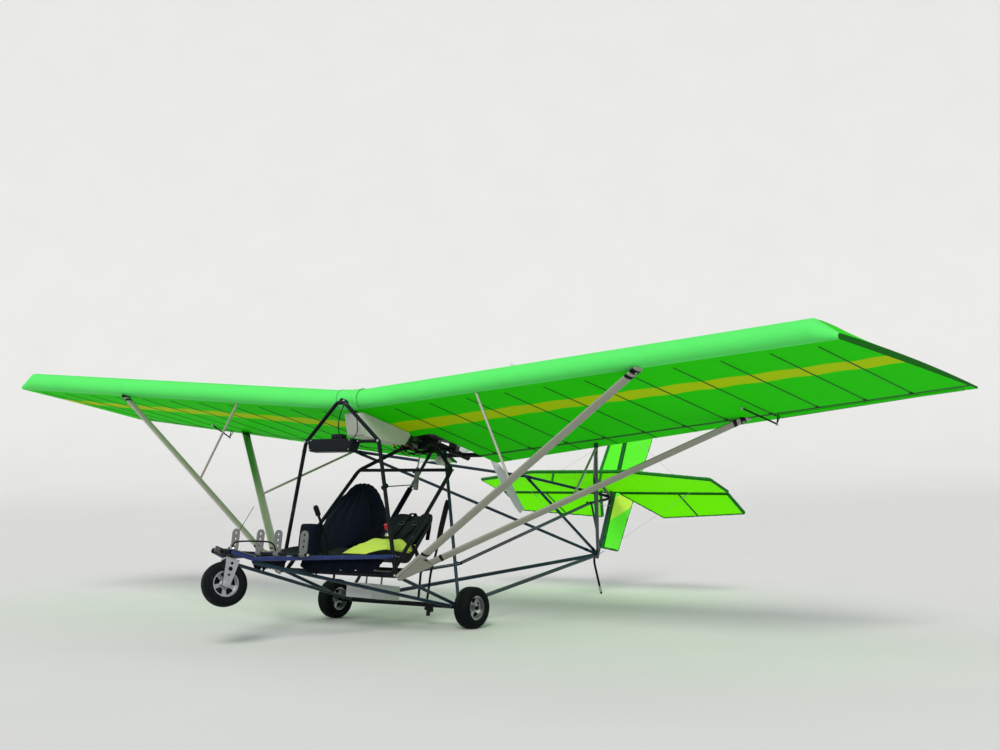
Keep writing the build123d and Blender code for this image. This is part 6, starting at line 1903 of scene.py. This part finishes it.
class Stage:
    """The plain floor, the soft lights and the camera at the photograph's angle."""

    CAMERA = Vector((8.899, -9.610, 1.174))
    YAW, PITCH, ROLL, TIP = math.radians(39.10), math.radians(3.195), math.radians(-0.480), math.radians(0.737)
    LENS = 55.8

    def __init__(self, ship: ShipFrame) -> None:
        """Keeps the ship's frame, which gives the camera's shift."""
        self.ship = ship

    def build(self) -> None:
        """Makes the floor, the lights and the camera."""
        self.floor()
        self.lights()
        self.camera()

    def floor(self) -> None:
        """A pale floor that curves up far behind."""
        mesh = bmesh.new()
        rows = []
        for k in range(25):
            t = k / 24
            y = -40.0 + 100.0 * t
            rise = max(0.0, (t - 0.72) / 0.28) ** 2 * 60.0
            rows.append([mesh.verts.new(Matrix.Rotation(math.radians(39.1), 4, "Z") @ Vector((x, y, rise - 0.0005))) for x in (-60.0, 60.0)])
        for one, two in zip(rows, rows[1:]):
            mesh.faces.new((one[0], one[1], two[1], two[0]))
        data = bpy.data.meshes.new("floor")
        mesh.to_mesh(data)
        mesh.free()
        data.shade_smooth()
        floor = bpy.data.objects.new("floor", data)
        bpy.context.scene.collection.objects.link(floor)
        made = bpy.data.materials.new("studio_floor")
        made.use_nodes = True
        kit = Shader(made.node_tree)
        shader = made.node_tree.nodes["Principled BSDF"]
        noise = kit.node("ShaderNodeTexNoise", Scale=0.6, Detail=4.0)
        kit.link(kit.node("ShaderNodeTexCoord").outputs["Object"], noise.inputs["Vector"])
        kit.link(kit.mix(noise.outputs["Fac"], (0.66, 0.66, 0.65), (0.70, 0.70, 0.69)), shader.inputs["Base Color"])
        shader.inputs["Roughness"].default_value = 0.85
        data.materials.append(made)
        floor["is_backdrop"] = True

    def lights(self) -> None:
        """One broad key light, a fill, a rim light and an even sky, all of them far off and soft."""
        for name, place, spread, power, tint in (
            ("key", (6.0, -9.0, 9.5), 24.0, 2.2, (1.0, 0.98, 0.95)),
            ("fill", (-9.0, -6.0, 6.0), 60.0, 0.55, (0.94, 0.97, 1.0)),
            ("rim", (-2.0, 10.0, 7.0), 40.0, 0.55, (1.0, 1.0, 1.0)),
        ):
            lamp = bpy.data.lights.new(name, "SUN")
            lamp.angle = math.radians(spread)
            lamp.energy = power
            lamp.color = tint
            made = bpy.data.objects.new(name, lamp)
            bpy.context.scene.collection.objects.link(made)
            made.location = place
            made.rotation_euler = (Vector((0, 0, 0.8)) - Vector(place)).to_track_quat("-Z", "Y").to_euler()
            made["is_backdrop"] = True
        world = bpy.data.worlds.new("sky")
        bpy.context.scene.world = world
        world.use_nodes = True
        kit = Shader(world.node_tree)
        sky = world.node_tree.nodes["Background"]
        rays = kit.node("ShaderNodeLightPath")
        seen = kit.math("MAXIMUM", rays.outputs["Is Camera Ray"], rays.outputs["Is Transmission Ray"])
        kit.link(kit.math("ADD", kit.math("MULTIPLY", seen, 0.30), 0.46), sky.inputs["Strength"])
        sky.inputs["Color"].default_value = (0.94, 0.97, 1.0, 1.0)
        bpy.context.scene.view_settings.view_transform = "Standard"

    def camera(self) -> None:
        """The camera where the photograph was taken from."""
        yaw, pitch, roll = self.YAW, self.PITCH, self.ROLL
        ahead = Vector((-math.sin(yaw) * math.cos(pitch), math.cos(yaw) * math.cos(pitch), math.sin(pitch)))
        right = Vector((math.cos(yaw), math.sin(yaw), 0.0))
        up = right.cross(ahead)
        right, up = right * math.cos(roll) + up * math.sin(roll), up * math.cos(roll) - right * math.sin(roll)
        c, s = math.cos(self.TIP), math.sin(self.TIP)

        def tipped(v: Vector) -> Vector:
            return Vector((v.x, v.y * c + v.z * s, -v.y * s + v.z * c))

        place = tipped(self.CAMERA) + Vector((0.0, self.ship.axle_y, self.ship.axle_z))
        ahead, right, up = tipped(ahead), tipped(right), tipped(up)
        lens = bpy.data.cameras.new("camera")
        lens.lens = self.LENS
        lens.sensor_width = 36.0
        lens.clip_end = 200.0
        made = bpy.data.objects.new("camera", lens)
        bpy.context.scene.collection.objects.link(made)
        turn = Matrix((right, up, -ahead)).transposed()
        made.matrix_world = Matrix.Translation(place) @ turn.to_4x4()
        bpy.context.scene.camera = made
        made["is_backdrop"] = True


FINISH_OF = {
    "frame_black": ("front_arch", "cross_bars", "rear_bow", "root_tube", "bearers", "main_axle", "tail_skid", "control_stick"),
    "frame_teal": (
        "rear_legs", "upper_booms", "lower_booms", "boom_fittings", "truss_diagonals", "centre_boom", "tail_post", "keel_rails",
    ),
    "frame_blue": ("side_rails",),
    "strut_alloy": ("lift_struts_front", "lift_struts_rear", "strut_feet", "jury_struts"),
    "cast_alloy": ("rim_nose", "rim_port", "rim_starboard", "nose_fork", "propeller_hub"),
    "plate_alloy": ("nose_plate", "pedals"),
    "tyre_rubber": ("tyre_nose", "tyre_port", "tyre_starboard"),
    "engine_alloy": ("engine_block", "engine_cylinders"),
    "silencer_steel": ("exhaust",),
    "blade_white": ("propeller_blades",),
    "shell_black": ("seats", "instrument_pod"),
    "tank_white": ("fuel_tank",),
    "tray_white": ("belly_tray",),
    # The CAD tail frames take the same dark green of painted shade.
    "sleeve_painted_shade_green": ("stabiliser", "elevator", "fin", "rudder"),
}


def write_size(name: str, sizes: dict) -> None:
    sizes[name] = [list(corner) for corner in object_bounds()]


def main() -> None:
    """Builds the whole dressed aircraft in order."""
    logging.basicConfig(level=logging.INFO, format="%(message)s")
    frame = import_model()
    sizes: dict = {}
    write_size("after_load", sizes)
    ship = ShipFrame(axle_y=-0.901184, axle_z=0.1675)
    shop = Workshop(ship)
    for finish, names in FINISH_OF.items():
        shop.dress(frame["nodes"], finish, *names)
    Stage(ship).build()
    for side in Side:
        SailWing(shop, side, WingSizes()).build()
    RootCover(shop, WingSizes()).build()
    Tail(shop).build()
    Cabin(shop).build()
    Engine(shop).build()
    RunningGear(shop).build()
    StrutFittings(shop).build()
    FrameFittings(shop).build()
    write_size("before_finish", sizes)


if __name__ == "__main__":
    main()
